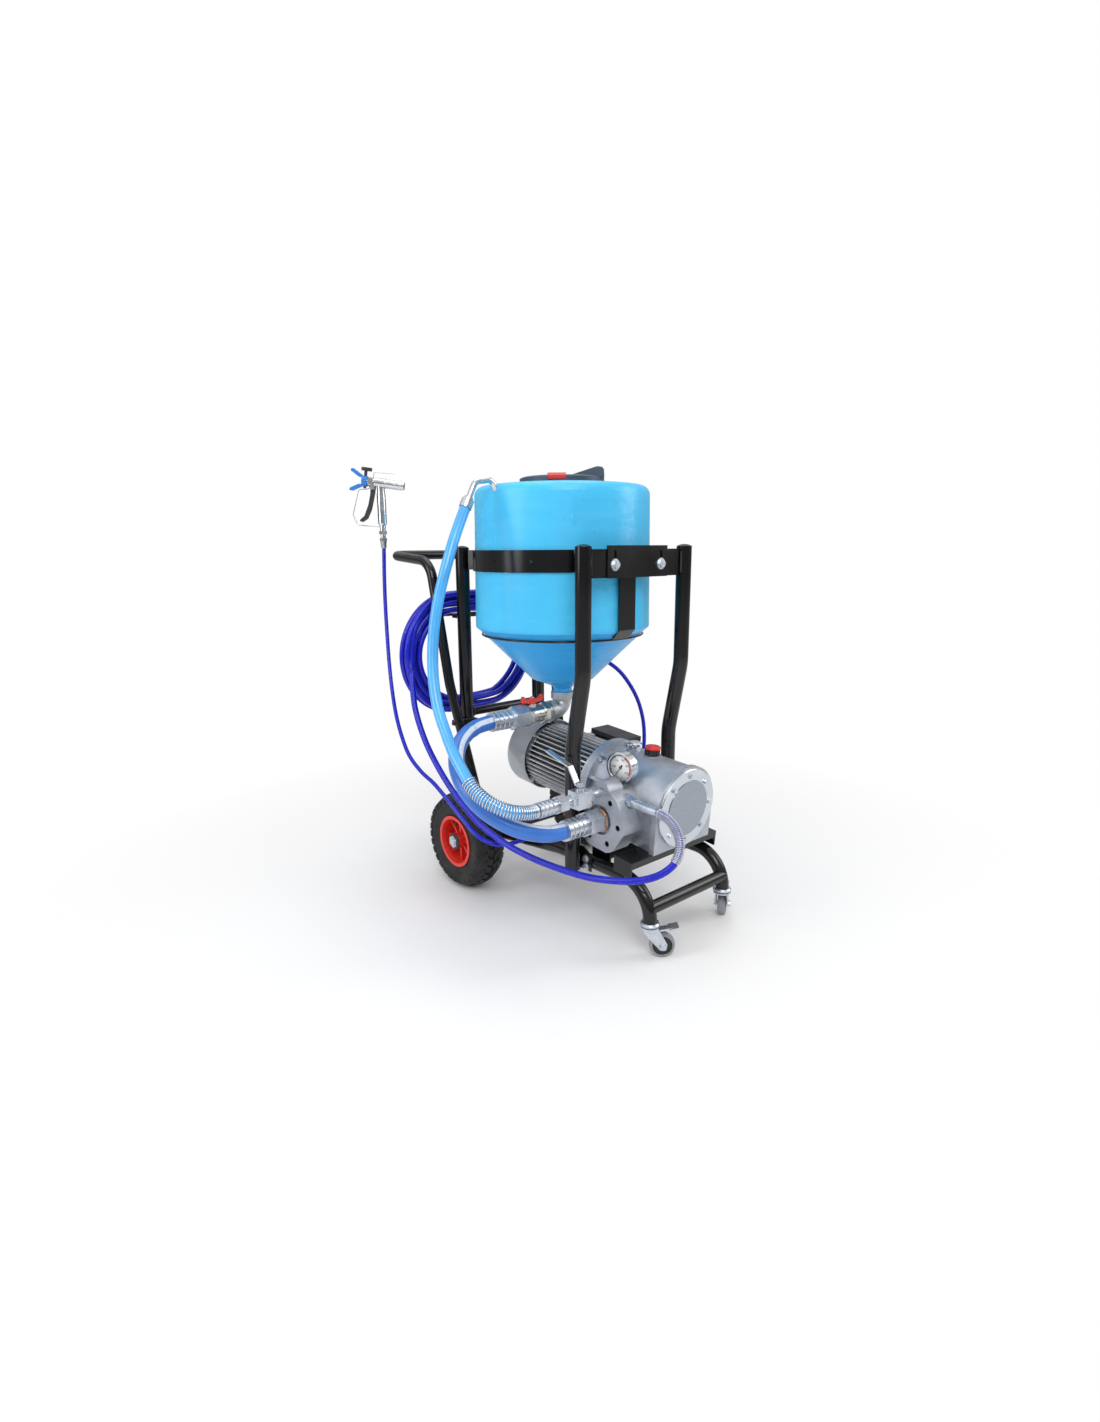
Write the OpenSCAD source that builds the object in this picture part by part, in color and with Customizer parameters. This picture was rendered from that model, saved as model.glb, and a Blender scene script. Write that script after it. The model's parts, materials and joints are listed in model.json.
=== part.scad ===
// Wheeled airless paint sprayer with a cone-bottomed tank in a tube frame.
// Millimetres, +Z up. The origin is on the floor under the tank's axis.
// The front, with the pump, is towards -Y. The suction side is towards -X.

/* [Frame] */
// Diameter of the four posts
post_d = 37; // [30:0.5:42]
// Wall of the frame tubes
tube_wall = 2.5; // [1.5:0.1:4]
// Height of the post tops, without their caps
post_top = 903; // [880:1:990]
// Half the distance between the front posts
front_half = 169; // [165:1:205]
// Half the distance between the rear posts
rear_half = 131; // [128:1:158]
// Diameter of the base rails
rail_d = 32; // [27:0.5:38]
// Half the distance between the base rails
rail_half = 132; // [125:1:160]
// Height of the rails' level stretch
rail_z = 167; // [160:1:185]
// Diameter of the handle tube
handle_d = 26.9; // [22:0.1:32]
// Height of the handle's crossbar
handle_z = 884; // [860:1:980]
// Reach of the handle behind the tank's axis
handle_reach = 520; // [480:1:580]

/* [Wheels] */
// Diameter of the rear tyres
tyre_d = 260; // [230:1:280]
// Width of the rear tyres
tyre_w = 84; // [70:1:90]
// Diameter of the red rims
rim_d = 128; // [110:1:140]
// Diameter of the axle rod
axle_d = 20; // [16:0.5:24]
// Distance of the axle behind the tank's axis
axle_y = 150; // [140:1:170]
// Diameter of the caster wheels
caster_d = 58; // [50:1:62]
// Width of the caster wheels
caster_w = 22; // [18:1:24]
// How far a caster wheel trails its swivel
caster_trail = 28; // [24:1:30]

/* [Tank] */
// Radius of the tank at the foot of its side
tank_r = 224; // [190:1:265]
// Radius of the tank under its shoulder
tank_top_r = 219.5; // [186:0.5:262]
// Height of the tank's top
tank_top = 1050; // [1000:1:1150]
// Height of the foot of the tank's side
tank_side_z = 707; // [700:1:730]
// Wall of the tank
tank_wall = 5; // [3:0.5:8]
// Radius of the filler lid
lid_r = 109; // [90:1:130]
// Height of the steel hoop round the tank
hoop_h = 51; // [40:1:60]
// Gap between the hoop and the tank
hoop_gap = 1.45; // [0.5:0.05:3]

/* [Pump] */
// Radius of the crankcase's front flange
case_r = 100; // [92:1:104]
// Lean of the pump and motor, front down
pump_tilt = 5; // [0:0.5:8]
// Radius of the pump head
head_r = 78; // [70:1:82]
// Diameter of the piston
piston_d = 34; // [28:0.5:38]
// Offset of the eccentric
throw = 6; // [4:0.5:7]
// Radius of the gauge
gauge_r = 37; // [30:0.5:40]

/* [Motor] */
// Radius over the motor's fins
motor_r = 90; // [84:1:94]
// Height of the motor's fins
fin_h = 11; // [6:0.5:14]
// Number of the motor's fins
fins = 44; // [30:1:56]
// Radius of the fan cowl
cowl_r = 99; // [95:1:104]
// Diameter of the motor's shaft
shaft_d = 28; // [22:0.5:32]

/* [Hoses] */
// Diameter of the suction hose
suction_d = 37; // [32:0.5:38]
// Diameter of the return hose
return_d = 25; // [20:0.5:25]
// Diameter of the pressure hose
pressure_d = 16; // [12:0.5:16]
// Diameter of the whip hose
whip_d = 11; // [8:0.5:11]

/* [Hidden] */
$fn = 64;

// Clearances: faces that rest together, and running fits on the radius
rest = 0.3;
run = 0.05;
// How far the straights of a bent tube run into its bends, and how much thinner the bends are
join = 0.5;
hair = 0.1;

// Frame
front_y = -(tank_r + 34);
foot_y = front_y + 34;
rear_y = tank_r + 35;
foot_z = 151;
rear_foot_z = 433;
cap_h = 6;
axle_z = tyre_d / 2;
nose_r = 82;
nose_y = foot_y - 215;
nose_foot = 84;
front_tube_d = 30;
axle_tube_d = 34;
axle_tube_half = 172;
rear_tube_d = 24;
rear_tube_z = 450;
leg_x = 152;
leg_top_x = 197;
handle_bend_y = rear_y + 59;
handle_bend_z = handle_z - 16;
rail_path = [[axle_y, axle_z], [-140, rail_z + 0.5], [nose_y, rail_z], [nose_y, nose_foot]];
handle_path = [[-leg_x, axle_y, axle_z], [-190, rear_y - 7, 540], [-leg_top_x, handle_bend_y, handle_bend_z],
    [-leg_top_x, handle_reach, handle_z], [leg_top_x, handle_reach, handle_z],
    [leg_top_x, handle_bend_y, handle_bend_z], [190, rear_y - 7, 540], [leg_x, axle_y, axle_z]];

// Tank hoop and its front plates
shoulder_r = 22;
hoop_z = 846;
hoop_t = 4;
hoop_r = max(tank_at(hoop_z), tank_at(hoop_z + hoop_h)) + hoop_gap;
hoop_out = hoop_r + hoop_t;
plate_z = 835;
plate_h = 63;
plate_t = 5;
slide_z = 834;
slide_h = 72;
slide_half = 100;
slide_t = 3.5;
plate_bolt_x = 77;
plate_bolt_z = 863.5;
strap_w = 54;
strap_t = 4;
strap_foot = 711;
ring_wire = 5;
ring_z = tank_side_z - 21.6;
ring_r = tank_r - 16.6;

// Hook rod and coil behind the rear posts
hook_d = 8;
hook_bar_y = 312;
hook_z = 716;
hook_half = 226;
coil_y0 = 322;
coil_y1 = 366;
coil_top = 786;
coil_foot = 430;
coil_left = -105;
coil_band = coil_top - hook_z - hook_d / 2 - rest;
hook_y = coil_y1 + hook_d / 2 + rest;

// Tank
cone_foot_r = 82;
cone_foot_z = tank_side_z - (tank_r - cone_foot_r - 2);
neck_r = 25;
neck_z = 522;
mouth_r = 92;
lid_z = tank_top + 1;
lid_turn = -40.7;
hinge_y = 112;
hinge_z = 1064;
latch_z = 1070;

// Suction line
line_z = 482;
elbow_r = 30;
valve_x = -105;
ball_d = 34;
stem_d = 10;

// Pump: its own frame has the motor's axis as +Y
pump_x = 17;
pump_y = foot_y - 185;
pump_z = 299;
arch_w = 10;
case_foot = -86;
head_v = 115;
head_w = -21.6;
head_face = -(front_half - post_d / 2 - 2.5) - pump_x;
boss_face = head_face + 50;
boss_r = head_r - 4;
port_v = 120.9;
port_w = 43.7;
screw_r = head_r - 20;
cover_r = case_r - 4;
disc_r = 68;
cover_bolt_r = 78;
cavity_r = 66;
bell_v = 225;
bell_r = 110;
bell_t = 20;
body_v = bell_v + bell_t;
body_end = 490;
cowl_v = 493;
cowl_end = 557;
rotor_r = 48;
stator_r = 62;
eccentric_d = 58;
gauge_turn = 8;
gauge_at = [-90, pump_y + 110, 401.5];
gauge_depth = 24;

// World places of the ports on the suction side
face_x = head_face + pump_x;
port_y = -292.4 + foot_y + 224;
suction_z = 287.5;
return_z = 353;
block_x = face_x - 62;
outlet_at = [face_x + 38, pump_y + 59.2, 337.4];

// Gun
gun_at = [-208, 547, 904];
gun_turn = 139.3;
barrel_h = 182;
barrel_tilt = 8;

// Casters: turn of each fork about its stem
near_turn = -40.7;
far_turn = 32;
race_d = 45;
race_h = 10;
fork_top = nose_foot - race_h - rest;

// Routes of the hoses, along their middles
suction_route = [[-258, -292.4, 287.5], [-298, -288, 290], [-335, -276, 299], [-367, -256, 312],
    [-392, -229, 330], [-409, -198, 350], [-417, -164, 373], [-415, -129, 396], [-403, -94, 419],
    [-382, -63, 440], [-354, -37, 458], [-319, -17, 471], [-300, -10, 475],
    [-280, -4, 479], [-240, 0, 482]];
return_route = [[-302, -10, 991], [-339, -22, 930], [-368, -29, 868], [-389, -27, 803], [-403, -24, 737],
    [-414, -29, 673], [-423, -43, 611], [-430, -68, 554], [-433, -101, 505], [-437, -137, 464],
    [-440, -177, 432], [-438, -213, 401], [-424, -249, 379], [-395, -276, 362], [-360, -289, 354],
    [-335, -292.4, 353]];
pressure_route = [[-110, -436, 333], [-110, -464, 327], [-114, -490, 312], [-121, -508, 289],
    [-133, -514, 264], [-148, -508, 241], [-167, -490, 222], [-187, -464, 209], [-205, -430, 200],
    [-220, -392, 194], [-232, -345, 188], [-241, -290, 185], [-250, -230, 185], [-258, -175, 188],
    [-266, -120, 195], [-274, -65, 208], [-281, 0, 229], [-283, 85, 270], [-283, 171, 330],
    [-283, 240, 400], [-280, 290, 485], [-266, 320, 575]];
whip_route = [[165, 322, 622], [168, 240, 615], [164, 155, 609], [159, 75, 606], [162, 12, 597],
    [189, -22, 568], [225, -32, 524], [256, -36, 474], [275, -39, 418], [278, -43, 362], [267, -48, 306],
    [243, -54, 252], [208, -58, 209], [168, -60, 187], [120, -60, 179], [40, -60, 174], [-40, -60, 174],
    [-120, -60, 180], [-178, -61, 180], [-234, -62, 181], [-276, -50, 189], [-298, -16, 206],
    [-305, 35, 235], [-306, 95, 267], [-305, 165, 298], [-302, 235, 316], [-295, 305, 344],
    [-283, 362, 384], [-270, 412, 435], [-256, 454, 500], [-243, 487, 575], [-233, 509, 655],
    [-224, 527, 740], [-216, 539, 820], [-208, 547, 904]];

// ---------------------------------------------------------------- helpers

function unit(v) = v / norm(v);
function turn_at(a, b, c) = acos(min(1, max(-1, unit(b - a) * unit(c - b))));
function setback(a, b, c, r) = r * tan(turn_at(a, b, c) / 2);
function on_rail(x) = [for (p = rail_path) [x, p[0], p[1]]];

// A straight rod or tube from a to b
module bar(a, b, d, bore = 0) {
    v = b - a;
    translate(a)
        rotate([0, acos(v[2] / norm(v)), atan2(v[1], v[0])])
            difference() {
                cylinder(d = d, h = norm(v));
                if (bore > 0) translate([0, 0, -1]) cylinder(d = bore, h = norm(v) + 2);
            }
}

// The bend of a rod or tube round the corner b, with radius r
module bend(a, b, c, r, d, bore = 0) {
    u1 = unit(b - a);
    u2 = unit(c - b);
    n = unit(u2 - u1 * (u1 * u2));
    z = cross(-n, u1);
    o = b - u1 * setback(a, b, c, r) + n * r;
    multmatrix([[-n[0], u1[0], z[0], o[0]], [-n[1], u1[1], z[1], o[1]], [-n[2], u1[2], z[2], o[2]],
        [0, 0, 0, 1]])
        rotate_extrude(angle = turn_at(a, b, c))
            translate([r, 0])
                difference() {
                    circle(d = d);
                    if (bore > 0) circle(d = bore);
                }
}

// A bent rod or tube through the points, with radii[i] at corner i. Each straight runs a little
// into the bends beside it, which are a hair thinner, so that the pieces join cleanly.
module rod(points, radii, d, bore = 0) {
    last = len(points) - 1;
    for (i = [0 : last - 1]) {
        u = unit(points[i + 1] - points[i]);
        lead = i == 0 ? 0 : setback(points[i - 1], points[i], points[i + 1], radii[i]) - join;
        tail = i == last - 1 ? 0 : setback(points[i], points[i + 1], points[i + 2], radii[i + 1]) - join;
        bar(points[i] + u * lead, points[i + 1] - u * tail, d, bore);
    }
    for (i = [1 : last - 1])
        bend(points[i - 1], points[i], points[i + 1], radii[i], d - hair, bore > 0 ? bore + hair : 0);
}

// Turns a child's +Z to -X, or to +Y
module to_left() {
    rotate([0, -90, 0]) children();
}

module to_back() {
    rotate([-90, 0, 0]) children();
}

// A flat profile in X and Z, extruded from y0 back to y1
module plate_y(y0, y1) {
    translate([0, y1, 0]) rotate([90, 0, 0]) linear_extrude(height = y1 - y0) children();
}

// A flat profile in Y and Z, extruded from x0 to x1
module plate_x(x0, x1) {
    translate([x0, 0, 0]) rotate([90, 0, 90]) linear_extrude(height = x1 - x0) children();
}

module hexagon(flats, h) {
    cylinder(d = flats / cos(30), h = h, $fn = 6);
}

module ring(d, bore, h) {
    difference() {
        cylinder(d = d, h = h);
        translate([0, 0, -1]) cylinder(d = bore, h = h + 2);
    }
}

// A hexagon screw head on a round washer, standing on z = 0, with its shank below
module bolt(d, head, reach) {
    cylinder(d = head * 1.7, h = 1.6);
    translate([0, 0, 1.6]) hexagon(head, head * 0.4);
    translate([0, 0, -reach]) cylinder(d = d, h = reach);
}

// Places its children in the pump's own frame
module pump_place() {
    translate([pump_x, pump_y, pump_z]) rotate([pump_tilt, 0, 0]) children();
}

// A tube swept along a hose's route: one ring of corners at each point of the route
function tangent(p, i) = unit(p[min(i + 1, len(p) - 1)] - p[max(i - 1, 0)]);
function hose_ring(c, t, side, r, sides) =
    let (n = unit(cross(t, side)), b = cross(n, t))
    [for (k = [0 : sides - 1]) c + r * (cos(360 * k / sides) * n + sin(360 * k / sides) * b)];
function tube_faces(rings, sides) = concat(
    [[for (k = [0 : sides - 1]) k]],
    [for (i = [0 : rings - 2]) for (k = [0 : sides - 1]) let (m = (k + 1) % sides)
        [i * sides + k, (i + 1) * sides + k, (i + 1) * sides + m, i * sides + m]],
    [[for (k = [sides - 1 : -1 : 0]) (rings - 1) * sides + k]]);

// from and to are the directions in which it leaves its first end and reaches its last
module hose(route, d, side, from, to, sides = 10) {
    last = len(route) - 1;
    aim = [for (i = [0 : last]) i == 0 ? unit(from) : i == last ? unit(to) : tangent(route, i)];
    points = [for (i = [0 : last]) each hose_ring(route[i], aim[i], side, d / 2, sides)];
    polyhedron(points = points, faces = tube_faces(last + 1, sides));
}

// ---------------------------------------------------------------- frame

module post_cap(x, y) {
    rise = cap_h - 1;
    crown = (post_d * post_d / 4 + rise * rise) / (2 * rise);
    translate([x, y, post_top])
        intersection() {
            cylinder(d = post_d, h = cap_h + 1);
            translate([0, 0, cap_h - crown]) sphere(r = crown);
        }
}

module post_bars(d, bore = 0) {
    for (s = [-1, 1]) {
        x = s * front_half;
        rod([[x, foot_y, foot_z], [x, foot_y, 440], [x, front_y, 615], [x, front_y, post_top]],
            [0, 180, 180, 0], d, bore);
        bar([s * rear_half, rear_y, rear_foot_z], [s * rear_half, rear_y, post_top], d, bore);
    }
}

module posts() {
    color("black") {
        post_bars(post_d, post_d - 2 * tube_wall);
        for (s = [-1, 1]) {
            post_cap(s * front_half, front_y);
            post_cap(s * rear_half, rear_y);
        }
    }
}

module rail_rods(d, bore = 0) {
    for (s = [-1, 1]) rod(on_rail(s * rail_half), [0, 200, nose_r, 0], d, bore);
}

module axle_line(d, half) {
    translate([half, axle_y, axle_z]) to_left() cylinder(d = d, h = 2 * half);
}

module base_rails() {
    color("black") {
        difference() {
            rail_rods(rail_d, rail_d - 2 * tube_wall);
            axle_line(axle_tube_d, axle_tube_half);
        }
        difference() {
            axle_line(axle_tube_d, axle_tube_half);
            axle_line(axle_d, axle_tube_half + 1);
        }
        difference() {
            bar([-rail_half, nose_y + 3, 113], [rail_half, nose_y + 3, 113], front_tube_d,
                front_tube_d - 2 * tube_wall);
            rail_rods(rail_d);
        }
    }
}

module handle_tube(d, bore = 0) {
    rod(handle_path, [0, 300, 60, 40, 40, 60, 300, 0], d, bore);
}

module handle() {
    color("black")
        difference() {
            handle_tube(handle_d, handle_d - 2 * tube_wall);
            axle_line(axle_tube_d, axle_tube_half);
            for (s = [-1, 1])
                bar([s * rail_half, axle_y, axle_z], [s * rail_half, -140, rail_z + 0.5], rail_d + hair);
        }
}

hub_in = axle_tube_half + 17;
hub_out = axle_tube_half + 81;

module axle() {
    color("silver") {
        axle_line(axle_d, hub_out + 14);
        for (s = [-1, 1])
            translate([s > 0 ? axle_tube_half : -axle_tube_half, axle_y, axle_z])
                rotate([0, s * 90, 0]) {
                    cylinder(d = axle_d + 8, h = hub_in - axle_tube_half - rest);
                    translate([0, 0, hub_out - axle_tube_half + rest]) cylinder(d = axle_d + 14, h = 2);
                    translate([0, 0, hub_out - axle_tube_half + rest + 2]) hexagon(30, 9);
                }
    }
}

// Folded channel under the front of the crankcase, leaning with the pump
front_mount_half = rail_half + rail_d / 2 + rest + 4;
module front_mount() {
    top = case_foot;
    pump_place() {
        translate([-front_mount_half - pump_x, 2, top - 4]) cube([2 * front_mount_half, 54, 4]);
        translate([-front_mount_half - pump_x, 2, top - 16]) cube([2 * front_mount_half, 4, 14]);
        translate([-front_mount_half - pump_x, 52, top - 16]) cube([2 * front_mount_half, 4, 14]);
        for (x = [-front_mount_half - pump_x, front_mount_half - pump_x - 4])
            translate([x, 2, top - 38]) cube([4, 54, 36]);
    }
}

// Folded channel between the rails with a pad up to the crankcase
rear_mount_y = foot_y - 72;
rear_mount_top = 200;
module rear_mount() {
    inner = rail_half - rail_d / 2 - rest;
    translate([-inner, rear_mount_y, rear_mount_top - 4]) cube([2 * inner, 60, 4]);
    for (x = [-inner, inner - 4]) translate([x, rear_mount_y, 158]) cube([4, 60, 40]);
    for (y = [rear_mount_y, rear_mount_y + 56])
        translate([-inner, y, rear_mount_top - 18]) cube([2 * inner, 4, 16]);
    difference() {
        translate([pump_x - 45, rear_mount_y + 5, rear_mount_top]) cube([90, 50, 40]);
        pump_place() translate([-100, 0, case_foot]) cube([200, 300, 60]);
    }
}

// Plates between the posts' feet and the rails
clamp_y = foot_y - 26;
module post_clamps() {
    outer = front_half - post_d / 2;
    inner = rail_half + rail_d / 2;
    for (s = [-1, 1])
        difference() {
            plate_x(s > 0 ? inner : -outer, s > 0 ? outer : -inner)
                polygon([[foot_y - 44, 150], [foot_y + 22, 150], [foot_y + 22, 192], [foot_y + 8, 206],
                    [foot_y - 18, 206], [foot_y - 44, 192]]);
            for (z = [rail_z - 9, rail_z + 11])
                translate([s * (outer + 1), clamp_y, z]) rotate([0, -s * 90, 0])
                    cylinder(d = 8.4, h = outer - inner + 2);
        }
}

// Plates that join the rear posts' feet, the cross tube and the handle's legs
rear_bracket_z = rear_tube_z - 22;
module rear_brackets() {
    for (s = [-1, 1])
        difference() {
            translate([0, 0, rear_bracket_z])
                linear_extrude(height = 5)
                    polygon([[s * 108, rear_y - 26], [s * 108, rear_y + 22], [s * 150, rear_y + 22],
                        [s * 178, rear_y + 6], [s * 200, rear_y - 26], [s * 196, rear_y - 52],
                        [s * 168, rear_y - 52]]);
            translate([s * rear_half, rear_y, rear_bracket_z - 20]) cylinder(d = 17, h = 60);
            for (k = [1, 6]) bar(handle_path[k], handle_path[k == 1 ? 0 : 7], handle_d + rest);
            translate([s * rear_bolt[0], rear_y + rear_bolt[1], 400]) cylinder(d = 8.4, h = 60);
        }
    difference() {
        bar([-rear_half, rear_y, rear_tube_z], [rear_half, rear_y, rear_tube_z], rear_tube_d,
            rear_tube_d - 2 * tube_wall);
        post_bars(post_d);
    }
}

rear_bolt = [160, -8];

module brackets() {
    color("black") {
        front_mount();
        rear_mount();
        post_clamps();
        rear_brackets();
    }
}

hoop_holes = [184.3, 150, 210];

module hoop_tab(x, y) {
    turn = atan2(y, x);
    rotate([0, 0, turn]) translate([hoop_r + 2, -2.5, hoop_z]) cube([norm([x, y]) - hoop_r - 2, 5, hoop_h]);
}

module hoop() {
    color("black") {
        difference() {
            union() {
                translate([0, 0, hoop_z]) ring(2 * hoop_out, 2 * hoop_r, hoop_h);
                for (s = [-1, 1]) {
                    hoop_tab(s * rear_half, rear_y);
                    hoop_tab(s * front_half, front_y);
                }
            }
            post_bars(post_d);
            for (a = hoop_holes)
                rotate([0, 0, a]) translate([hoop_r - 5, 0, hoop_z + hoop_h / 2]) rotate([0, 90, 0])
                    cylinder(d = 6, h = 20);
        }
        difference() {
            plate_x(-strap_w / 2, strap_w / 2)
                polygon([[-hoop_out + 3, hoop_z + hoop_h], [-hoop_out - strap_t, hoop_z + hoop_h],
                    [-hoop_out - strap_t, strap_foot - 1.7], [-ring_r - 2.4, ring_z + 1.2],
                    [-ring_r - 2.4, ring_z + 6.9], [-hoop_out, strap_foot - 5], [-hoop_out, hoop_z - 2],
                    [-hoop_out + 3, hoop_z - 2]]);
            translate([0, 0, hoop_z - 5]) cylinder(r = hoop_out, h = hoop_h + 10);
        }
    }
}

module slot_y(x, z0, z1, w, y0, y1) {
    for (z = [z0 + w / 2, z1 - w / 2]) translate([x, y0, z]) to_back() cylinder(d = w, h = y1 - y0);
    translate([x - w / 2, y0, z0 + w / 2]) cube([w, y1 - y0, z1 - z0 - w]);
}

plate_back = front_y + plate_t / 2;
plate_front = front_y - plate_t / 2;
module front_plate() {
    color("black")
        difference() {
            translate([-front_half, plate_front, plate_z]) cube([2 * front_half, plate_t, plate_h]);
            post_bars(post_d);
            for (s = [-1, 1])
                translate([s * plate_bolt_x, plate_front - 1, plate_bolt_z]) to_back()
                    cylinder(d = 10.4, h = plate_t + 2);
        }
}

module slide_plate() {
    color("black")
        difference() {
            translate([-slide_half, plate_front - slide_t, slide_z]) cube([2 * slide_half, slide_t, slide_h]);
            for (s = [-1, 1])
                slot_y(s * plate_bolt_x, slide_z + 24, slide_z + 62, 10.4, plate_front - slide_t - 1,
                    plate_front + 1);
        }
}

module retaining_ring() {
    color("black") translate([0, 0, ring_z]) rotate_extrude() translate([ring_r, 0]) circle(d = ring_wire);
}

// Rod frame on the rear posts: two pegs carry the coil, and a rod with drooping ends keeps it on
module hose_hook() {
    color("black")
        difference() {
            union() {
                rod([[-hook_half, hook_y, hook_z - 50], [-hook_half, hook_y, hook_z],
                    [hook_half, hook_y, hook_z], [hook_half, hook_y, hook_z - 50]], [0, 14, 14, 0], hook_d);
                bar([-rear_half, hook_bar_y, hook_z], [rear_half, hook_bar_y, hook_z], hook_d);
                for (s = [-1, 1])
                    bar([s * rear_half, rear_y, hook_z], [s * rear_half, hook_bar_y, hook_z], hook_d + 0.6);
                for (x = [coil_left + 10, -10]) bar([x, hook_bar_y, hook_z], [x, hook_y, hook_z], hook_d - 0.6);
            }
            post_bars(post_d);
        }
}

module frame_bolts() {
    outer = front_half - post_d / 2;
    reach = outer - rail_half - rail_d / 2 - rest;
    color("lightgray") {
        for (s = [-1, 1]) {
            translate([s * plate_bolt_x, plate_front - slide_t, plate_bolt_z]) rotate([90, 0, 0])
                bolt(10, 16, slide_t + plate_t + 2);
            translate([s * plate_bolt_x, plate_back, plate_bolt_z]) to_back() hexagon(16, 8);
            for (z = [rail_z - 9, rail_z + 11])
                translate([s * outer, clamp_y, z]) rotate([0, s * 90, 0]) bolt(8, 12, reach);
            translate([s * rear_bolt[0], rear_y + rear_bolt[1], rear_bracket_z + 5]) bolt(8, 12, 12);
        }
    }
}

// ---------------------------------------------------------------- wheels and casters

module at_wheel(s) {
    translate([s * (hub_in + hub_out) / 2, axle_y, axle_z]) rotate([0, 90, 0]) children();
}

// Half section of the tyre: tread crown, side wall, bead and the inside of the carcass
module tyre() {
    r = tyre_d / 2;
    w = tyre_w / 2;
    bead = rim_d / 2 + rest;
    rotate_extrude($fn = 96)
        difference() {
            polygon(concat(
                [for (a = [-1 : 0.25 : 1]) [r - 7 * a * a, a * (w - 9)]],
                [for (a = [15 : 15 : 135]) [(r + bead) / 2 - 3.5 + ((r - bead) / 2 - 3.5) * cos(a),
                    w - 9 + 9 * sin(a)]],
                [[bead + 7, w - 7], [bead, w - 14], [bead, -w + 14], [bead + 7, -w + 7]],
                [for (a = [135 : -15 : 15]) [(r + bead) / 2 - 3.5 + ((r - bead) / 2 - 3.5) * cos(a),
                    -w + 9 - 9 * sin(a)]]));
            polygon([[bead + 9, -w + 18], [r - 20, -w + 12], [r - 13, 0], [r - 20, w - 12],
                [bead + 9, w - 18]]);
            for (z = [-20, 0, 20]) translate([r - 5.5, z - 2]) square([8, 4]);
        }
}

module tyre_left() {
    color([0.08, 0.08, 0.08]) at_wheel(-1) tyre();
}

module tyre_right() {
    color([0.08, 0.08, 0.08]) at_wheel(1) tyre();
}

// Spoked rim with its hub and bearing bore; the visible face is +Z
module rim() {
    r = rim_d / 2;
    w = tyre_w / 2;
    hub = (hub_out - hub_in) / 2;
    difference() {
        union() {
            rotate_extrude($fn = 96)
                polygon([[r, -w + 14], [r + 6, -w + 6], [r + 6, -w + 3.5], [r - 3, -w + 3.5],
                    [r - 6, -w + 14], [r - 6, w - 14], [r - 3, w - 3.5], [r + 6, w - 3.5], [r + 6, w - 6],
                    [r, w - 14]]);
            for (k = [0 : 7]) rotate([0, 0, 45 * k]) translate([16, -3, -18]) cube([r - 20, 6, 36]);
            translate([0, 0, -4]) cylinder(d = rim_d - 10, h = 5);
            translate([0, 0, -hub]) cylinder(d = axle_d + 22, h = 2 * hub);
        }
        translate([0, 0, -60]) cylinder(d = axle_d + 2 * run, h = 120);
        for (k = [0 : 7]) rotate([0, 0, 45 * k + 22.5]) translate([44, 0, -20]) cylinder(d = 15, h = 40);
    }
}

module rim_left() {
    color("red") at_wheel(-1) rotate([180, 0, 0]) rim();
}

module rim_right() {
    color("red") at_wheel(1) rim();
}

module at_stem(s) {
    translate([s * rail_half, nose_y, 0]) rotate([0, 0, s < 0 ? near_turn : far_turn]) children();
}

module caster_top() {
    translate([0, 0, nose_foot - race_h]) {
        rotate_extrude() polygon([[7, 0], [race_d / 2 - 4, 0], [race_d / 2, 4], [race_d / 2, race_h - 3],
            [race_d / 2 - 3, race_h], [7, race_h]]);
        cylinder(d = 14, h = race_h + 20);
    }
    translate([0, 0, fork_top - 9]) cylinder(d = 10, h = 12);
    translate([0, 0, fork_top - 6.3]) cylinder(d = 18, h = 3);
}

module caster_tops() {
    color("lightgray") for (s = [-1, 1]) at_stem(s) caster_top();
}

// Fork: a round crown with two cheeks down to the wheel's bolt
module caster_fork() {
    hub_z = caster_d / 2;
    gap = caster_w / 2 + 2;
    difference() {
        union() {
            translate([0, 0, fork_top - 3]) cylinder(d = race_d - 2, h = 3);
            for (s = [-1, 1])
                translate([0, s > 0 ? gap : -gap - 2.5, 0]) rotate([90, 0, 0]) mirror([0, 0, 1])
                    linear_extrude(height = 2.5)
                        polygon([[-17, fork_top], [17, fork_top], [caster_trail + 10, hub_z + 6],
                            [caster_trail + 8, hub_z - 7], [caster_trail - 6, hub_z - 8],
                            [-14, fork_top - 12]]);
        }
        translate([0, 0, fork_top - 4]) cylinder(d = 10 + 2 * rest, h = 8);
    }
    translate([caster_trail, gap + 2.5, hub_z]) rotate([90, 0, 0]) cylinder(d = 8, h = 2 * gap + 5);
    for (s = [-1, 1])
        translate([caster_trail, s * (gap + 2.5), hub_z]) rotate([-s * 90, 0, 0]) hexagon(12, 5);
}

module caster_wheel() {
    r = caster_d / 2;
    w = caster_w / 2;
    translate([caster_trail, 0, r]) rotate([90, 0, 0]) rotate_extrude($fn = 96)
        polygon([[4 + run, -w], [9, -w], [11, -w + 4], [r - 9, -w + 4], [r - 6, -w + 1], [r - 2, -w + 2],
            [r, -3], [r, 3], [r - 2, w - 2], [r - 6, w - 1], [r - 9, w - 4], [11, w - 4], [9, w],
            [4 + run, w]]);
}

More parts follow.
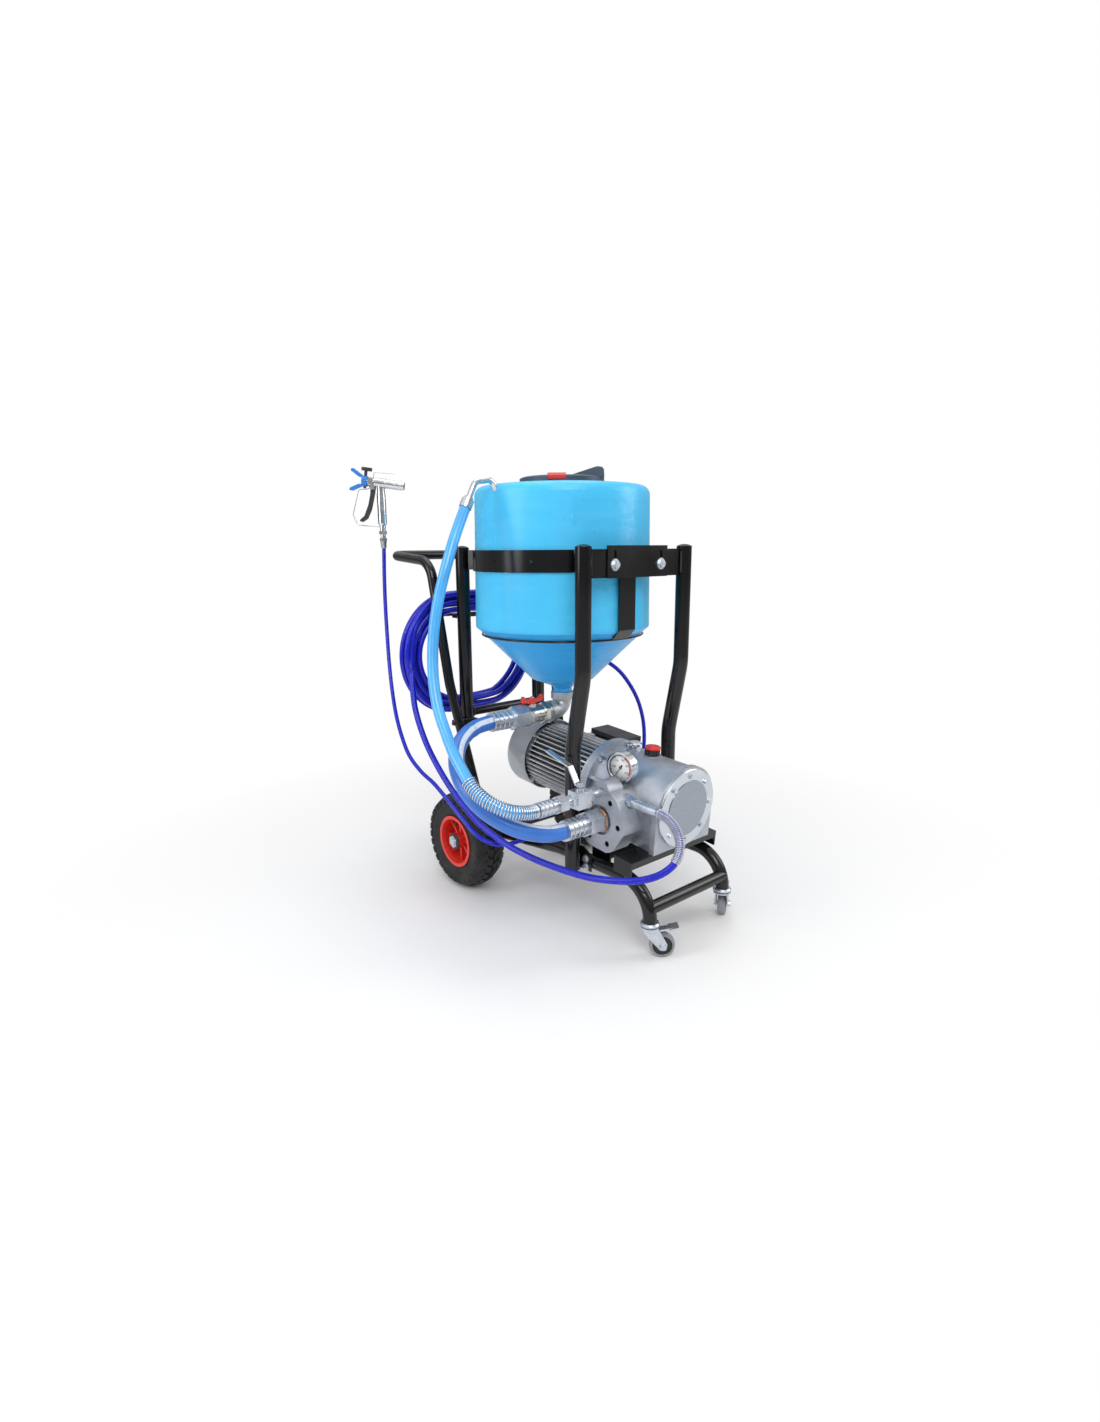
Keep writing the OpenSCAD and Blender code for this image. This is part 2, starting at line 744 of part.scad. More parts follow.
// Foot pedal that presses on the caster's wheel
pedal_x = 13;
pedal_z = caster_d + 4.5;
module caster_brake() {
    difference() {
        union() {
            plate_y(-9, 9)
                polygon([[pedal_x - 5, pedal_z - 4], [pedal_x + 5, pedal_z - 5], [pedal_x + 12, pedal_z + 1],
                    [caster_trail + 30, pedal_z + 7], [caster_trail + 34, pedal_z + 12],
                    [caster_trail + 28, pedal_z + 11], [pedal_x + 8, pedal_z + 5], [pedal_x - 5, pedal_z + 4]]);
            plate_y(-14, 14)
                polygon([[caster_trail + 14, pedal_z + 4.6], [caster_trail + 31, pedal_z + 8],
                    [caster_trail + 35, pedal_z + 13], [caster_trail + 28, pedal_z + 11],
                    [caster_trail + 14, pedal_z + 8]]);
        }
        translate([pedal_x, -20, pedal_z]) to_back() cylinder(d = 4.1, h = 40);
    }
}

module caster_pedal_pin() {
    translate([pedal_x, -caster_w / 2 - 2, pedal_z]) to_back() cylinder(d = 4, h = caster_w + 4);
}

module caster_fork_left() {
    color("lightgray") at_stem(-1) {
        caster_fork();
        caster_pedal_pin();
    }
}

module caster_fork_right() {
    color("lightgray") at_stem(1) {
        caster_fork();
        caster_pedal_pin();
    }
}

module caster_wheel_left() {
    color("gray") at_stem(-1) caster_wheel();
}

module caster_wheel_right() {
    color("gray") at_stem(1) caster_wheel();
}

module caster_brake_left() {
    color("lightgray") at_stem(-1) caster_brake();
}

module caster_brake_right() {
    color("lightgray") at_stem(1) caster_brake();
}

// ---------------------------------------------------------------- tank

// Radius of the tank's tapered side at a height
function tank_at(z) = tank_r + (tank_top_r - tank_r) * (z - tank_side_z) / (tank_top - shoulder_r - tank_side_z);

// Outline of the tank's outside, or of its inside when inset is the wall
function tank_line(inset) = let (
    s = shoulder_r - inset,
    top = tank_top - inset,
    corner_r = tank_top_r - inset,
    k = inset * (sqrt(2) - 1))
    concat(
        [[neck_r - inset, neck_z - (inset > 0 ? 5 : 0)], [neck_r - inset, cone_foot_z - 26 + k],
            [30 - inset / 2, cone_foot_z - 20 + inset], [cone_foot_r - inset / 2, cone_foot_z + inset],
            [tank_r - 9 - inset, tank_side_z - 9 + k]],
        [for (a = [-30 : 15 : 0]) [tank_r - inset - 12 * (1 - cos(a)), tank_side_z + 12 * (sin(a) + 0.2)]],
        [for (a = [0 : 15 : 90]) [corner_r - s + s * cos(a), top - s + s * sin(a)]]);

module tank_solid(inset) {
    line = tank_line(inset);
    top = line[len(line) - 1][1];
    rotate_extrude($fn = 128) polygon(concat([[0, line[0][1]]], line, [[0, top]]));
}

module tank() {
    color([0.45, 0.75, 0.95])
        difference() {
            union() {
                tank_solid(0);
                translate([0, 0, tank_top - 1]) ring(2 * mouth_r + 14, 2 * mouth_r, 8);
            }
            tank_solid(tank_wall);
            translate([0, 0, tank_top - 20]) cylinder(r = mouth_r, h = 40);
            // plain recessed panel on the front
            translate([0, 0, 943.5])
                rotate([0, 0, -125]) rotate_extrude(angle = 70) translate([tank_top_r - 0.5, 0]) square([20, 63.5]);
            spout_bore();
        }
}

// Collar screwed to the tank's mouth, with hinge ears at the back and a catch at the front
module lid_place() {
    rotate([0, 0, lid_turn]) children();
}

module lid_ring() {
    color([0.2, 0.24, 0.28]) lid_place() {
        difference() {
            union() {
                translate([0, 0, lid_z]) cylinder(r = lid_r, h = 10);
                for (k = [0 : 35]) rotate([0, 0, 10 * k]) translate([lid_r - 2, -2.5, lid_z + 1]) cube([4, 5, 8]);
                for (x = [-38, 26]) translate([x, 99, lid_z + 2]) cube([12, 19, 17]);
                translate([-20, -lid_r - 4, lid_z + 2]) cube([40, 10, 5]);
            }
            translate([0, 0, lid_z - 1]) cylinder(r = mouth_r + 7 + rest, h = 8);
            translate([0, 0, lid_z]) cylinder(r = mouth_r - 4, h = 20);
            translate([-60, hinge_y, hinge_z]) rotate([0, 90, 0]) cylinder(d = 6, h = 120);
            translate([-25, hinge_y - 8, hinge_z - 8]) cube([50, 30, 20]);
        }
    }
}

module tank_lid() {
    top = lid_z + 10 + rest;
    color([0.18, 0.22, 0.26]) lid_place() {
        difference() {
            union() {
                translate([0, 0, top]) cylinder(r = lid_r - 3, h = 8);
                translate([0, 0, top + 8]) cylinder(r1 = lid_r - 3, r2 = lid_r - 9, h = 3);
                plate_y(-48, 48)
                    polygon([[14, top + 8], [20, top + 14], [78, top + 32], [86, top + 34], [98, top + 32],
                        [102, top + 26], [103, top + 8]]);
                translate([-24.5, 92, top]) cube([49, 18, 8]);
                translate([-24.5, hinge_y, hinge_z]) rotate([0, 90, 0]) cylinder(d = 13, h = 49);
            }
            for (x = [-39, 25]) translate([x, 97, top - 1]) cube([14, 30, 20]);
        }
        translate([-37, hinge_y, hinge_z]) rotate([0, 90, 0]) cylinder(d = 5.9, h = 74);
        translate([0, 0, top - 6]) ring(2 * mouth_r - 9, 2 * mouth_r - 16, 7);
    }
}

module lid_latch() {
    top = lid_z + 10 + rest;
    color("red") lid_place() {
        plate_x(-35, 7)
            polygon([[-lid_r - 1, top + rest], [-lid_r + 2.4, top + rest], [-lid_r + 2.4, top + 8.8],
                [-lid_r + 8.4, top + 11.5], [-lid_r + 16, top + 11.5], [-lid_r + 14, top + 15.5],
                [-lid_r, top + 13], [-lid_r - 1.5, top + 8]]);
        // round knuckle on the latch's hinge line
        translate([-36, -lid_r + 15, top + 13.3]) rotate([0, 90, 0]) cylinder(d = 4, h = 44);
    }
}

// Bent pipe that leads the returned paint over the shoulder into the tank
spout_path = [[-302, -10, 991], [-272, -10, 1050], [-226, -10, 1056], [-200, -10, 1012]];
spout_d = 14;

module spout_bore() {
    bar(spout_path[2], spout_path[3] + [6, 0, -10], spout_d + 2 * rest);
}

module return_spout() {
    color("silver") {
        rod(spout_path, [0, 20, 20, 0], spout_d, spout_d - 3);
        u = unit(spout_path[1] - spout_path[0]);
        bar(spout_path[0], spout_path[0] + u * 20, return_d + 4, spout_d - 1);
        bar(spout_path[0] + u * 19, spout_path[0] + u * 26, return_d - 4, spout_d - 1);
    }
}

// ---------------------------------------------------------------- suction line

module elbow() {
    color("silver")
        difference() {
            union() {
                rod([[0, 0, neck_z + 8], [0, 0, line_z], [-52, 0, line_z]], [0, elbow_r, 0], 46);
                translate([0, 0, neck_z - 10]) cylinder(d = 62, h = 18);
                translate([-36, 0, line_z]) to_left() cylinder(d = 56, h = 16);
            }
            translate([0, 0, neck_z]) cylinder(r = neck_r, h = 20);
            rod([[0, 0, neck_z + 1], [0, 0, line_z], [-53, 0, line_z]], [0, elbow_r, 0], 34);
        }
}

module suction_valve_body() {
    color("silver") translate([0, 0, line_z])
        difference() {
            union() {
                translate([-52, 0, 0]) to_left() cylinder(d = 40, h = 12);
                translate([-62, 0, 0]) to_left() hexagon(50, 14);
                translate([-75, 0, 0]) to_left() cylinder(d = 46, h = 46);
                translate([-116, 0, 0]) to_left() hexagon(50, 14);
                translate([valve_x, 0, 0]) cylinder(d = 22, h = 29);
            }
            translate([-50, 0, 0]) to_left() cylinder(d = 25, h = 90);
            translate([valve_x, 0, 0]) sphere(d = ball_d + 2 * rest);
            translate([valve_x, 0, 0]) cylinder(d = stem_d + 2 * run, h = 40);
        }
}

module suction_valve_ball() {
    color("silver") translate([valve_x, 0, line_z]) {
        difference() {
            sphere(d = ball_d);
            translate([30, 0, 0]) to_left() cylinder(d = 25, h = 60);
        }
        translate([0, 0, ball_d / 2 - 3.5]) cylinder(d = stem_d, h = 16);
        translate([0, 0, 29]) hexagon(8, 18);
    }
}

module suction_valve_handle() {
    color("red") translate([valve_x, 0, line_z])
        difference() {
            union() {
                translate([0, 0, 30]) cylinder(d = 17, h = 14);
                for (s = [-1, 1]) {
                    plate_y(-4, 4)
                        polygon([[s * 6, 31], [s * 12, 31], [s * 28, 34], [s * 34, 42], [s * 33, 50],
                            [s * 28, 50], [s * 24, 42], [s * 6, 42]]);
                    translate([s * 27, 0, 34]) cylinder(d = 12.6, h = 12);
                }
            }
            translate([0, 0, 25]) hexagon(8.2, 22);
        }
}

// A crimped hose end pointing to -X: union nut, collar and ribbed ferrule
module hose_end(flats, nut, collar, ferrule_d, ferrule, bore) {
    difference() {
        union() {
            to_left() hexagon(flats, nut);
            translate([-nut, 0, 0]) to_left() cylinder(d = ferrule_d - 7, h = collar);
            translate([-nut - collar, 0, 0]) to_left()
                rotate_extrude() polygon(concat([[bore / 2 - 1, 0], [ferrule_d / 2 - 2, 0]],
                    [for (k = [0 : 3]) each [[ferrule_d / 2, 2 + k * ferrule / 4],
                        [ferrule_d / 2, (k + 0.8) * ferrule / 4], [ferrule_d / 2 - 1.2, (k + 0.9) * ferrule / 4]]],
                    [[ferrule_d / 2 - 1, ferrule], [bore / 2 - 1, ferrule]]));
        }
        translate([1, 0, 0]) to_left() cylinder(d = bore, h = nut + collar + ferrule + 2);
    }
}

module hose_ends() {
    color("silver") {
        translate([-130, 0, line_z]) hose_end(54, 44, 10, 48, 56, 26);
        translate([face_x + 2, port_y, suction_z]) hose_end(52, 52, 6, 48, 54, 26);
        translate([block_x - 47, port_y, return_z]) hose_end(36, 24, 8, 35, 46, 16);
        outlet_end();
    }
}

// The pressure hose's end, pointing along the outlet
module outlet_end() {
    v = pressure_route[0] - outlet_at;
    translate(outlet_at) rotate([0, acos(v[2] / norm(v)), atan2(v[1], v[0])])
        difference() {
            union() {
                hexagon(24, 14);
                translate([0, 0, 13]) cylinder(d = 15, h = 10);
                translate([0, 0, 22]) cylinder(d = 22, h = norm(v) - 22);
            }
            translate([0, 0, -1]) cylinder(d = 9, h = norm(v) + 2);
        }
}

module suction_hose() {
    color([0.1, 0.35, 0.8]) hose(suction_route, suction_d, [0, 0.7, -0.7], [-1, 0, 0], [1, 0, 0]);
}

module return_hose() {
    color([0.35, 0.65, 0.95]) hose(return_route, return_d, [0, 1, 0], spout_path[0] - spout_path[1], [1, 0, 0]);
}

// ---------------------------------------------------------------- return valve

module return_valve_body() {
    block_z = 40;
    color("silver") translate([block_x, port_y, return_z]) {
        difference() {
            union() {
                translate([-20, -17.5, -block_z / 2]) cube([40, 35, block_z]);
                translate([19, 0, 0]) rotate([0, 90, 0]) hexagon(27, 16);
                translate([34, 0, 0]) rotate([0, 90, 0]) cylinder(d = 20, h = face_x - block_x - 34);
                translate([-19, 0, 0]) to_left() hexagon(27, 12);
                translate([-31, 0, 0]) to_left() cylinder(d = 20, h = 16);
                translate([0, 0, block_z / 2]) cylinder(d = 20, h = 5);
            }
            translate([80, 0, 0]) to_left() cylinder(d = 11, h = 160);
            sphere(d = 22 + 2 * rest);
            cylinder(d = 8 + 2 * run, h = 60);
        }
    }
}

module return_valve_lever() {
    color("silver") translate([block_x, port_y, return_z]) {
        difference() {
            sphere(d = 22);
            translate([30, 0, 0]) to_left() cylinder(d = 11, h = 60);
        }
        translate([0, 0, 9]) cylinder(d = 8, h = 26);
        translate([0, 0, 33]) hexagon(13, 5);
        plate_x(-7, 7)
            polygon([[-8, 29], [9, 29], [33, 66], [110, 87], [109, 90.5], [30, 69.2], [7, 33], [-8, 33]]);
        translate([0, 0, 29]) cylinder(d = 17, h = 4);
    }
}

// ---------------------------------------------------------------- motor

// Section of the finned housing: each fin is a tooth on the body's circle
module fin_section() {
    root = motor_r - fin_h;
    pitch = 360 / fins;
    polygon([for (k = [0 : fins - 1]) each [
        root * [cos(k * pitch), sin(k * pitch)],
        root * [cos((k + 0.34) * pitch), sin((k + 0.34) * pitch)],
        motor_r * [cos((k + 0.42) * pitch), sin((k + 0.42) * pitch)],
        motor_r * [cos((k + 0.66) * pitch), sin((k + 0.66) * pitch)],
        root * [cos((k + 0.74) * pitch), sin((k + 0.74) * pitch)]]]);
}

module motor_housing() {
    color("silver") pump_place()
        difference() {
            union() {
                plate_y(body_v + 16, body_end - 12) fin_section();
                translate([0, body_v, 0]) to_back() cylinder(r = motor_r + 4, h = 18);
                translate([0, body_end - 14, 0]) to_back() cylinder(r = motor_r - fin_h + 2, h = 14);
                translate([box_x0 - pump_x + 4, body_v + 26, 40]) cube([50, 120, 36]);
                // lugs under the fan cowl
                for (k = [0 : 3])
                    rotate([0, 90 * k + 45, 0]) translate([motor_r - fin_h - 4, body_end - 12, -6])
                        cube([cowl_r - motor_r + fin_h + 4 - 2 - rest, 10, 12]);
            }
            translate([0, body_v + 12, 0]) to_back() cylinder(r = stator_r, h = body_end - body_v - 24);
            translate([0, body_v - 1, 0]) to_back() cylinder(d = shaft_d + 2 * run, h = 300);
            box_solid(rest / 2);
        }
}

// Terminal box on the motor's far side
box_x0 = 60;
box_x1 = 118;
box_v0 = 247;
box_v1 = 366;
module box_solid(grow) {
    translate([box_x0 - pump_x - grow, box_v0 - grow, 52 - grow])
        cube([box_x1 - box_x0 + 2 * grow, box_v1 - box_v0 + 2 * grow, 44 + 2 * grow]);
}

module terminal_box() {
    color([0.1, 0.1, 0.1]) pump_place()
        difference() {
            union() {
                box_solid(0);
                translate([box_x0 - pump_x - 2, box_v0 - 2, 82])
                    cube([box_x1 - box_x0 + 4, box_v1 - box_v0 + 4, 16]);
                translate([box_x1 - pump_x - 1, 330, 66]) rotate([0, 90, 0]) hexagon(24, 9);
                translate([box_x1 - pump_x, 330, 66]) rotate([0, 90, 0]) cylinder(d = 20, h = 16);
            }
            translate([box_x0 - pump_x + 3, box_v0 + 3, 55])
                cube([box_x1 - box_x0 - 6, box_v1 - box_v0 - 6, 36]);
            translate([box_x1 - pump_x - 10, 330, 66]) rotate([0, 90, 0]) cylinder(d = 12, h = 40);
            to_back() cylinder(r = motor_r + 4 + rest, h = 800);
        }
}

module fan_cowl() {
    color("gray") pump_place()
        difference() {
            translate([0, cowl_v, 0]) to_back()
                rotate_extrude($fn = 96)
                    polygon([[cowl_r - 2, -18], [cowl_r, -18], [cowl_r, cowl_end - cowl_v - 14],
                        [cowl_r - 3, cowl_end - cowl_v - 4], [cowl_r - 12, cowl_end - cowl_v],
                        [0, cowl_end - cowl_v], [0, cowl_end - cowl_v - 2],
                        [cowl_r - 13, cowl_end - cowl_v - 2], [cowl_r - 5, cowl_end - cowl_v - 6],
                        [cowl_r - 2, cowl_end - cowl_v - 15]]);
            for (r = [22 : 14 : 78])
                for (q = [0 : 3])
                    translate([0, cowl_end - 20, 0]) to_back() rotate([0, 0, 90 * q + 8])
                        rotate_extrude(angle = 74) translate([r, 0]) square([7, 30]);
        }
}

module cooling_fan() {
    color([0.15, 0.15, 0.15]) pump_place() translate([0, body_end + 12, 0]) to_back()
        difference() {
            union() {
                cylinder(d = 52, h = 26);
                cylinder(r = cowl_r - 16, h = 2.5);
                for (k = [0 : 7]) rotate([0, 0, 45 * k]) translate([20, -1.5, 0]) cube([cowl_r - 37, 3, 30]);
            }
            translate([0, 0, -1]) cylinder(d = shaft_d - 6 + 0.1, h = 40);
        }
}

module motor_rotor() {
    color("silver") pump_place() {
        translate([0, 62, 0]) to_back() cylinder(d = shaft_d, h = body_end - 62 + 2);
        translate([0, body_end + 1, 0]) to_back() cylinder(d = shaft_d - 6, h = 40);
        translate([0, body_v + 40, 0]) to_back() cylinder(r = rotor_r, h = 150);
    }
}

// ---------------------------------------------------------------- pump

module case_outline(r) {
    translate([0, arch_w]) circle(r = r);
    translate([-r, case_foot]) square([2 * r, arch_w - case_foot]);
}

module head_axis(x0) {
    translate([x0, head_v, head_w]) to_left() children();
}

module crankcase() {
    color("silver") pump_place()
        difference() {
            union() {
                plate_y(0, 14) case_outline(case_r);
                translate([0, 13, arch_w]) to_back() cylinder(r1 = case_r - 4, r2 = case_r - 8, h = 160);
                translate([8 - case_r, 13, case_foot]) cube([2 * case_r - 16, 190, 96]);
                translate([0, 150, 4]) to_back() cylinder(r1 = case_r - 12, r2 = bell_r - 20, h = 76);
                translate([0, bell_v, 0]) to_back() cylinder(r = bell_r, h = bell_t);
                for (a = [20, 55, 125, 160])
                    rotate([0, -a, 0]) plate_y(150, bell_v + 2)
                        polygon([[60, -4], [bell_r - 6, -4], [bell_r - 6, 4], [60, 4]]);
                translate([-60, head_v, head_w]) to_left() cylinder(r = boss_r, h = -boss_face - 60 - 1.2);
                translate([20 - pump_x, 118, 60]) cylinder(d = 44, h = 45);
                translate([20 - pump_x, 175, 60]) cylinder(d = 40, h = 43);
                translate([-94, 117, 20]) cylinder(d = 26, h = 33);
            }
            translate([-case_r - 20, -20, case_foot - 30]) cube([2 * case_r + 40, bell_v + 18, 30]);
            translate([0, -1, arch_w]) to_back() cylinder(r = cavity_r, h = 191);
            translate([0, 180, 0]) to_back() cylinder(d = shaft_d + 2 * run, h = 100);
            translate([0, bell_v - 4, 0]) to_back() cylinder(d = 70, h = 40);
            translate([-40, head_v, 0]) to_left() cylinder(d = piston_d + 2 * run, h = 200);
            head_axis(boss_face + 6) cylinder(r = 44, h = 30);
            for (k = [0 : 5]) head_axis(boss_face + 40) rotate([0, 0, 60 * k + 30]) translate([screw_r, 0, 0])
                cylinder(d = 8.2, h = 60);
            translate([20 - pump_x, 118, 80]) cylinder(d = 20.1, h = 60);
            translate([20 - pump_x, 175, 80]) cylinder(d = 16.1, h = 60);
            translate([-94, 117, 40]) cylinder(d = 15, h = 40);
        }
}

module front_cover() {
    color([0.75, 0.77, 0.8]) pump_place()
        difference() {
            translate([0, 0, arch_w]) rotate([90, 0, 0]) {
                cylinder(r = cover_r, h = 4);
                translate([0, 0, 3.9]) cylinder(r1 = cover_r, r2 = cover_r - 2, h = 2.1);
                cylinder(r = disc_r, h = 7.5);
                translate([0, 0, -8]) ring(2 * cavity_r - 0.2, 2 * cavity_r - 10, 9);
            }
            for (k = [0 : 7])
                translate([0, 20, arch_w]) rotate([90, 45 * k, 0]) translate([cover_bolt_r, 0, 0])
                    cylinder(d = 6.6, h = 60);
        }
}

module cap_screws() {
    color("lightgray") pump_place() {
        for (k = [0 : 7])
            translate([0, -6, arch_w]) rotate([90, 45 * k, 0]) translate([cover_bolt_r, 0, 0]) {
                cylinder(d = 12, h = 1.2);
                translate([0, 0, 1]) hexagon(10, 4);
                translate([0, 0, -6]) cylinder(d = 6, h = 7);
            }
        for (k = [0 : 5])
            head_axis(head_face + 9) rotate([0, 0, 60 * k + 30]) translate([screw_r, 0, 0])
                difference() {
                    union() {
                        cylinder(d = 13, h = 8);
                        translate([0, 0, -56]) cylinder(d = 8, h = 57);
                    }
                    translate([0, 0, 4]) hexagon(6.5, 5);
                }
        for (k = [0 : 5])
            translate([0, bell_v, 0]) rotate([90, 60 * k - 12, 0]) translate([bell_r - 9, 0, 0]) hexagon(11, 5);
    }
}

module eccentric() {
    color("silver") pump_place()
        difference() {
            union() {
                translate([throw * sqrt(0.5), head_v - 16, throw * sqrt(0.5)]) to_back()
                    cylinder(d = eccentric_d, h = 32);
                translate([0, head_v - 26, 0]) to_back() cylinder(d = shaft_d + 14, h = 11);
            }
            translate([0, head_v - 40, 0]) to_back() cylinder(d = shaft_d, h = 80);
        }
}

piston_in = -(eccentric_d / 2 + (2 - sqrt(0.5)) * throw) - 0.6;
module piston() {
    color("silver") pump_place() {
        translate([piston_in, head_v, 0]) to_left() cylinder(d = piston_d, h = -boss_face - 14 + piston_in);
        translate([piston_in, head_v, 0]) to_left() cylinder(d = piston_d + 8, h = 5);
    }
}

module diaphragm() {
    color([0.3, 0.3, 0.3]) pump_place()
        head_axis(boss_face + 1.2) difference() {
            cylinder(r = boss_r - 1, h = 1.2);
            for (k = [0 : 5]) rotate([0, 0, 60 * k + 30]) translate([screw_r, 0, -1]) cylinder(d = 8.2, h = 4);
        }
}

module pump_head() {
    depth = boss_face - head_face;
    color("silver") pump_place()
        difference() {
            union() {
                head_axis(boss_face) intersection() {
                    cylinder(r = head_r, h = depth);
                    rotate([0, 0, 30]) cylinder(r = head_r + 6, h = depth, $fn = 6);
                }
                translate([boss_face, port_v, port_w]) to_left() cylinder(r = 27, h = depth - 4);
                translate([boss_face, port_v - 14, 10]) to_left() cylinder(r = 36, h = depth - 2);
                outlet_boss();
            }
            translate([boss_face, 0, -120]) cube([20, 220, 260]);
            translate([outlet_at[0] - pump_x, 20, 33]) to_back() cylinder(d = 29, h = 43);
            head_axis(head_face + 12) cylinder(r = 36, h = 20);
            for (k = [0 : 5]) head_axis(boss_face + 1) rotate([0, 0, 60 * k + 30]) translate([screw_r, 0, 0]) {
                cylinder(d = 8.2, h = 60);
                translate([0, 0, depth - 8]) cylinder(d = 14, h = 20);
            }
            head_axis(boss_face + 1) cylinder(d = 24, h = 60);
            translate([boss_face - 10, port_v, port_w]) to_left() cylinder(d = 12, h = 60);
        }
    color("silver") pump_place()
        difference() {
            head_axis(head_face + 13) cylinder(r = 22, h = 11);
            head_axis(head_face + 20) cylinder(d = 24, h = 60);
        }
}

module outlet_boss() {
    translate([outlet_at[0] - pump_x, 63, 33]) to_back() cylinder(d = 30, h = 50);
}

// ---------------------------------------------------------------- gauge, caps

module gauge_place() {
    translate(gauge_at) rotate([0, 0, gauge_turn]) to_left() children();
}

module gauge_case() {
    color("silver") {
        gauge_place() {
            difference() {
                translate([0, 0, -gauge_depth]) cylinder(r = gauge_r - 1.5, h = gauge_depth);
                translate([0, 0, -5]) cylinder(r = gauge_r - 4, h = 10);
            }
            difference() {
                translate([0, 0, -4]) cylinder(r = gauge_r, h = 5);
                translate([0, 0, -5]) cylinder(r = gauge_r - 4, h = 10);
            }
            translate([0, 0, -6]) cylinder(d = 2.4, h = 4.5);
        }
        stem = [gauge_at[0] + 13, gauge_at[1] + 2, 0];
        translate([stem[0], stem[1], 356]) cylinder(d = 14, h = gauge_at[2] - gauge_r - 356 + 4);
        translate([stem[0], stem[1], 364]) hexagon(17, 5);
    }
}

module gauge_pointer() {
    color("black") gauge_place() rotate([0, 0, 145]) {
        difference() {
            union() {
                translate([0, 0, -3.6]) cylinder(d = 7, h = 1.4);
                translate([0, 0, -3.3])
                    linear_extrude(height = 0.8) polygon([[-8, -1.8], [0, -1.2], [gauge_r - 9, 0], [0, 1.2],
                        [-8, 1.8]]);
            }
            translate([0, 0, -5]) cylinder(d = 2.5, h = 10);
        }
    }
}

module oil_cap() {
    color([0.1, 0.1, 0.1]) pump_place() translate([20 - pump_x, 118, 105]) {
        for (k = [0 : 11]) rotate([0, 0, 30 * k]) translate([15, -2.5, 1]) cube([3.4, 5, 12]);
        translate([0, 0, rest]) cylinder(d = 33, h = 14);
        translate([0, 0, 14]) cylinder(d1 = 33, d2 = 30, h = 2);
        translate([0, 0, -16]) cylinder(d = 20, h = 17);
    }
}

module pressure_knob() {
    color("silver") pump_place() translate([20 - pump_x, 175, 103]) {
        translate([0, 0, -10]) cylinder(d = 16, h = 12);
        translate([0, 0, rest]) hexagon(26, 7);
        translate([0, 0, 7]) cylinder(d = 19, h = 3);
        translate([0, 0, 10]) rotate_extrude() polygon([[0, 0], [15, 0], [17, 1.5], [17, 5], [14, 7.5], [0, 8]]);
    }
}

// ---------------------------------------------------------------- hoses and coil

module pressure_hose() {
    color([0.1, 0.15, 0.8])
        hose(pressure_route, pressure_d, [1, 0, 0], pressure_route[0] - outlet_at, [0.1, 0.4, 0.9]);
}

module whip_hose() {
    color([0.1, 0.15, 0.7]) hose(whip_route, whip_d, [0.5, 0.5, 0.7], [0, -1, 0], [0, 0, 1], 8);
}

// The wound hose: an upright oval ring behind the rear posts, hung on the hook rod
module coil_outline(grow) {
    r = (coil_top - coil_foot) / 2 - grow;
    mid = (coil_top + coil_foot) / 2;
    for (x = [coil_left, 0]) translate([x, mid]) circle(r = r, $fn = 64);
    translate([coil_left, mid - r]) square([-coil_left, 2 * r]);
}

module hose_coil() {
    color([0.1, 0.15, 0.75]) plate_y(coil_y0, coil_y1)
        difference() {
            coil_outline(0);
            coil_outline(coil_band);
        }
}

// Spring guards: a helix of wire round each high-pressure hose where it leaves its ferrule
function curve_point(p, s) = let (
    i = min(floor(s), len(p) - 2), t = s - i,
    a = p[max(i - 1, 0)], b = p[i], c = p[i + 1], d = p[min(i + 2, len(p) - 1)])
    0.5 * ((2 * b) + (c - a) * t + (2 * a - 5 * b + 4 * c - d) * t * t + (3 * b - a - 3 * c + d) * t * t * t);

function coil_point(p, s, phase, r, side) = let (
    c = curve_point(p, s), t = unit(curve_point(p, s + 0.02) - curve_point(p, s - 0.02)),
    n = unit(cross(t, side)), b = cross(n, t))
    c + r * (cos(phase) * n + sin(phase) * b);

module spring(route, s0, s1, turns, r, wire, side) {
    steps = turns * 12;
    path = [for (i = [0 : steps]) coil_point(route, s0 + (s1 - s0) * i / steps, i * 30, r, side)];
    middle = [for (i = [0 : steps]) curve_point(route, s0 + (s1 - s0) * i / steps)];
    points = [for (i = [0 : steps])
        each hose_ring(path[i], tangent(path, i), unit(path[i] - middle[i]), wire / 2, 5)];
    polyhedron(points = points, faces = tube_faces(steps + 1, 5));
}

module spring_guards() {
    color("silver") {
        spring(pressure_route, 0.05, 4.6, 26, pressure_d / 2 + 1.8, 2, [1, 0, 0]);
        spring([for (i = [len(return_route) - 1 : -1 : 0]) return_route[i]], 0.1, 4.6, 22,
            return_d / 2 + 2.3, 2.6, [0, 1, 0]);
    }
}

// ---------------------------------------------------------------- gun

module gun_place() {
    translate(gun_at) rotate([0, 0, gun_turn]) children();
}

module barrel_place() {
    translate([0, 0, barrel_h]) rotate([0, -barrel_tilt, 0]) rotate([0, 90, 0]) children();
}

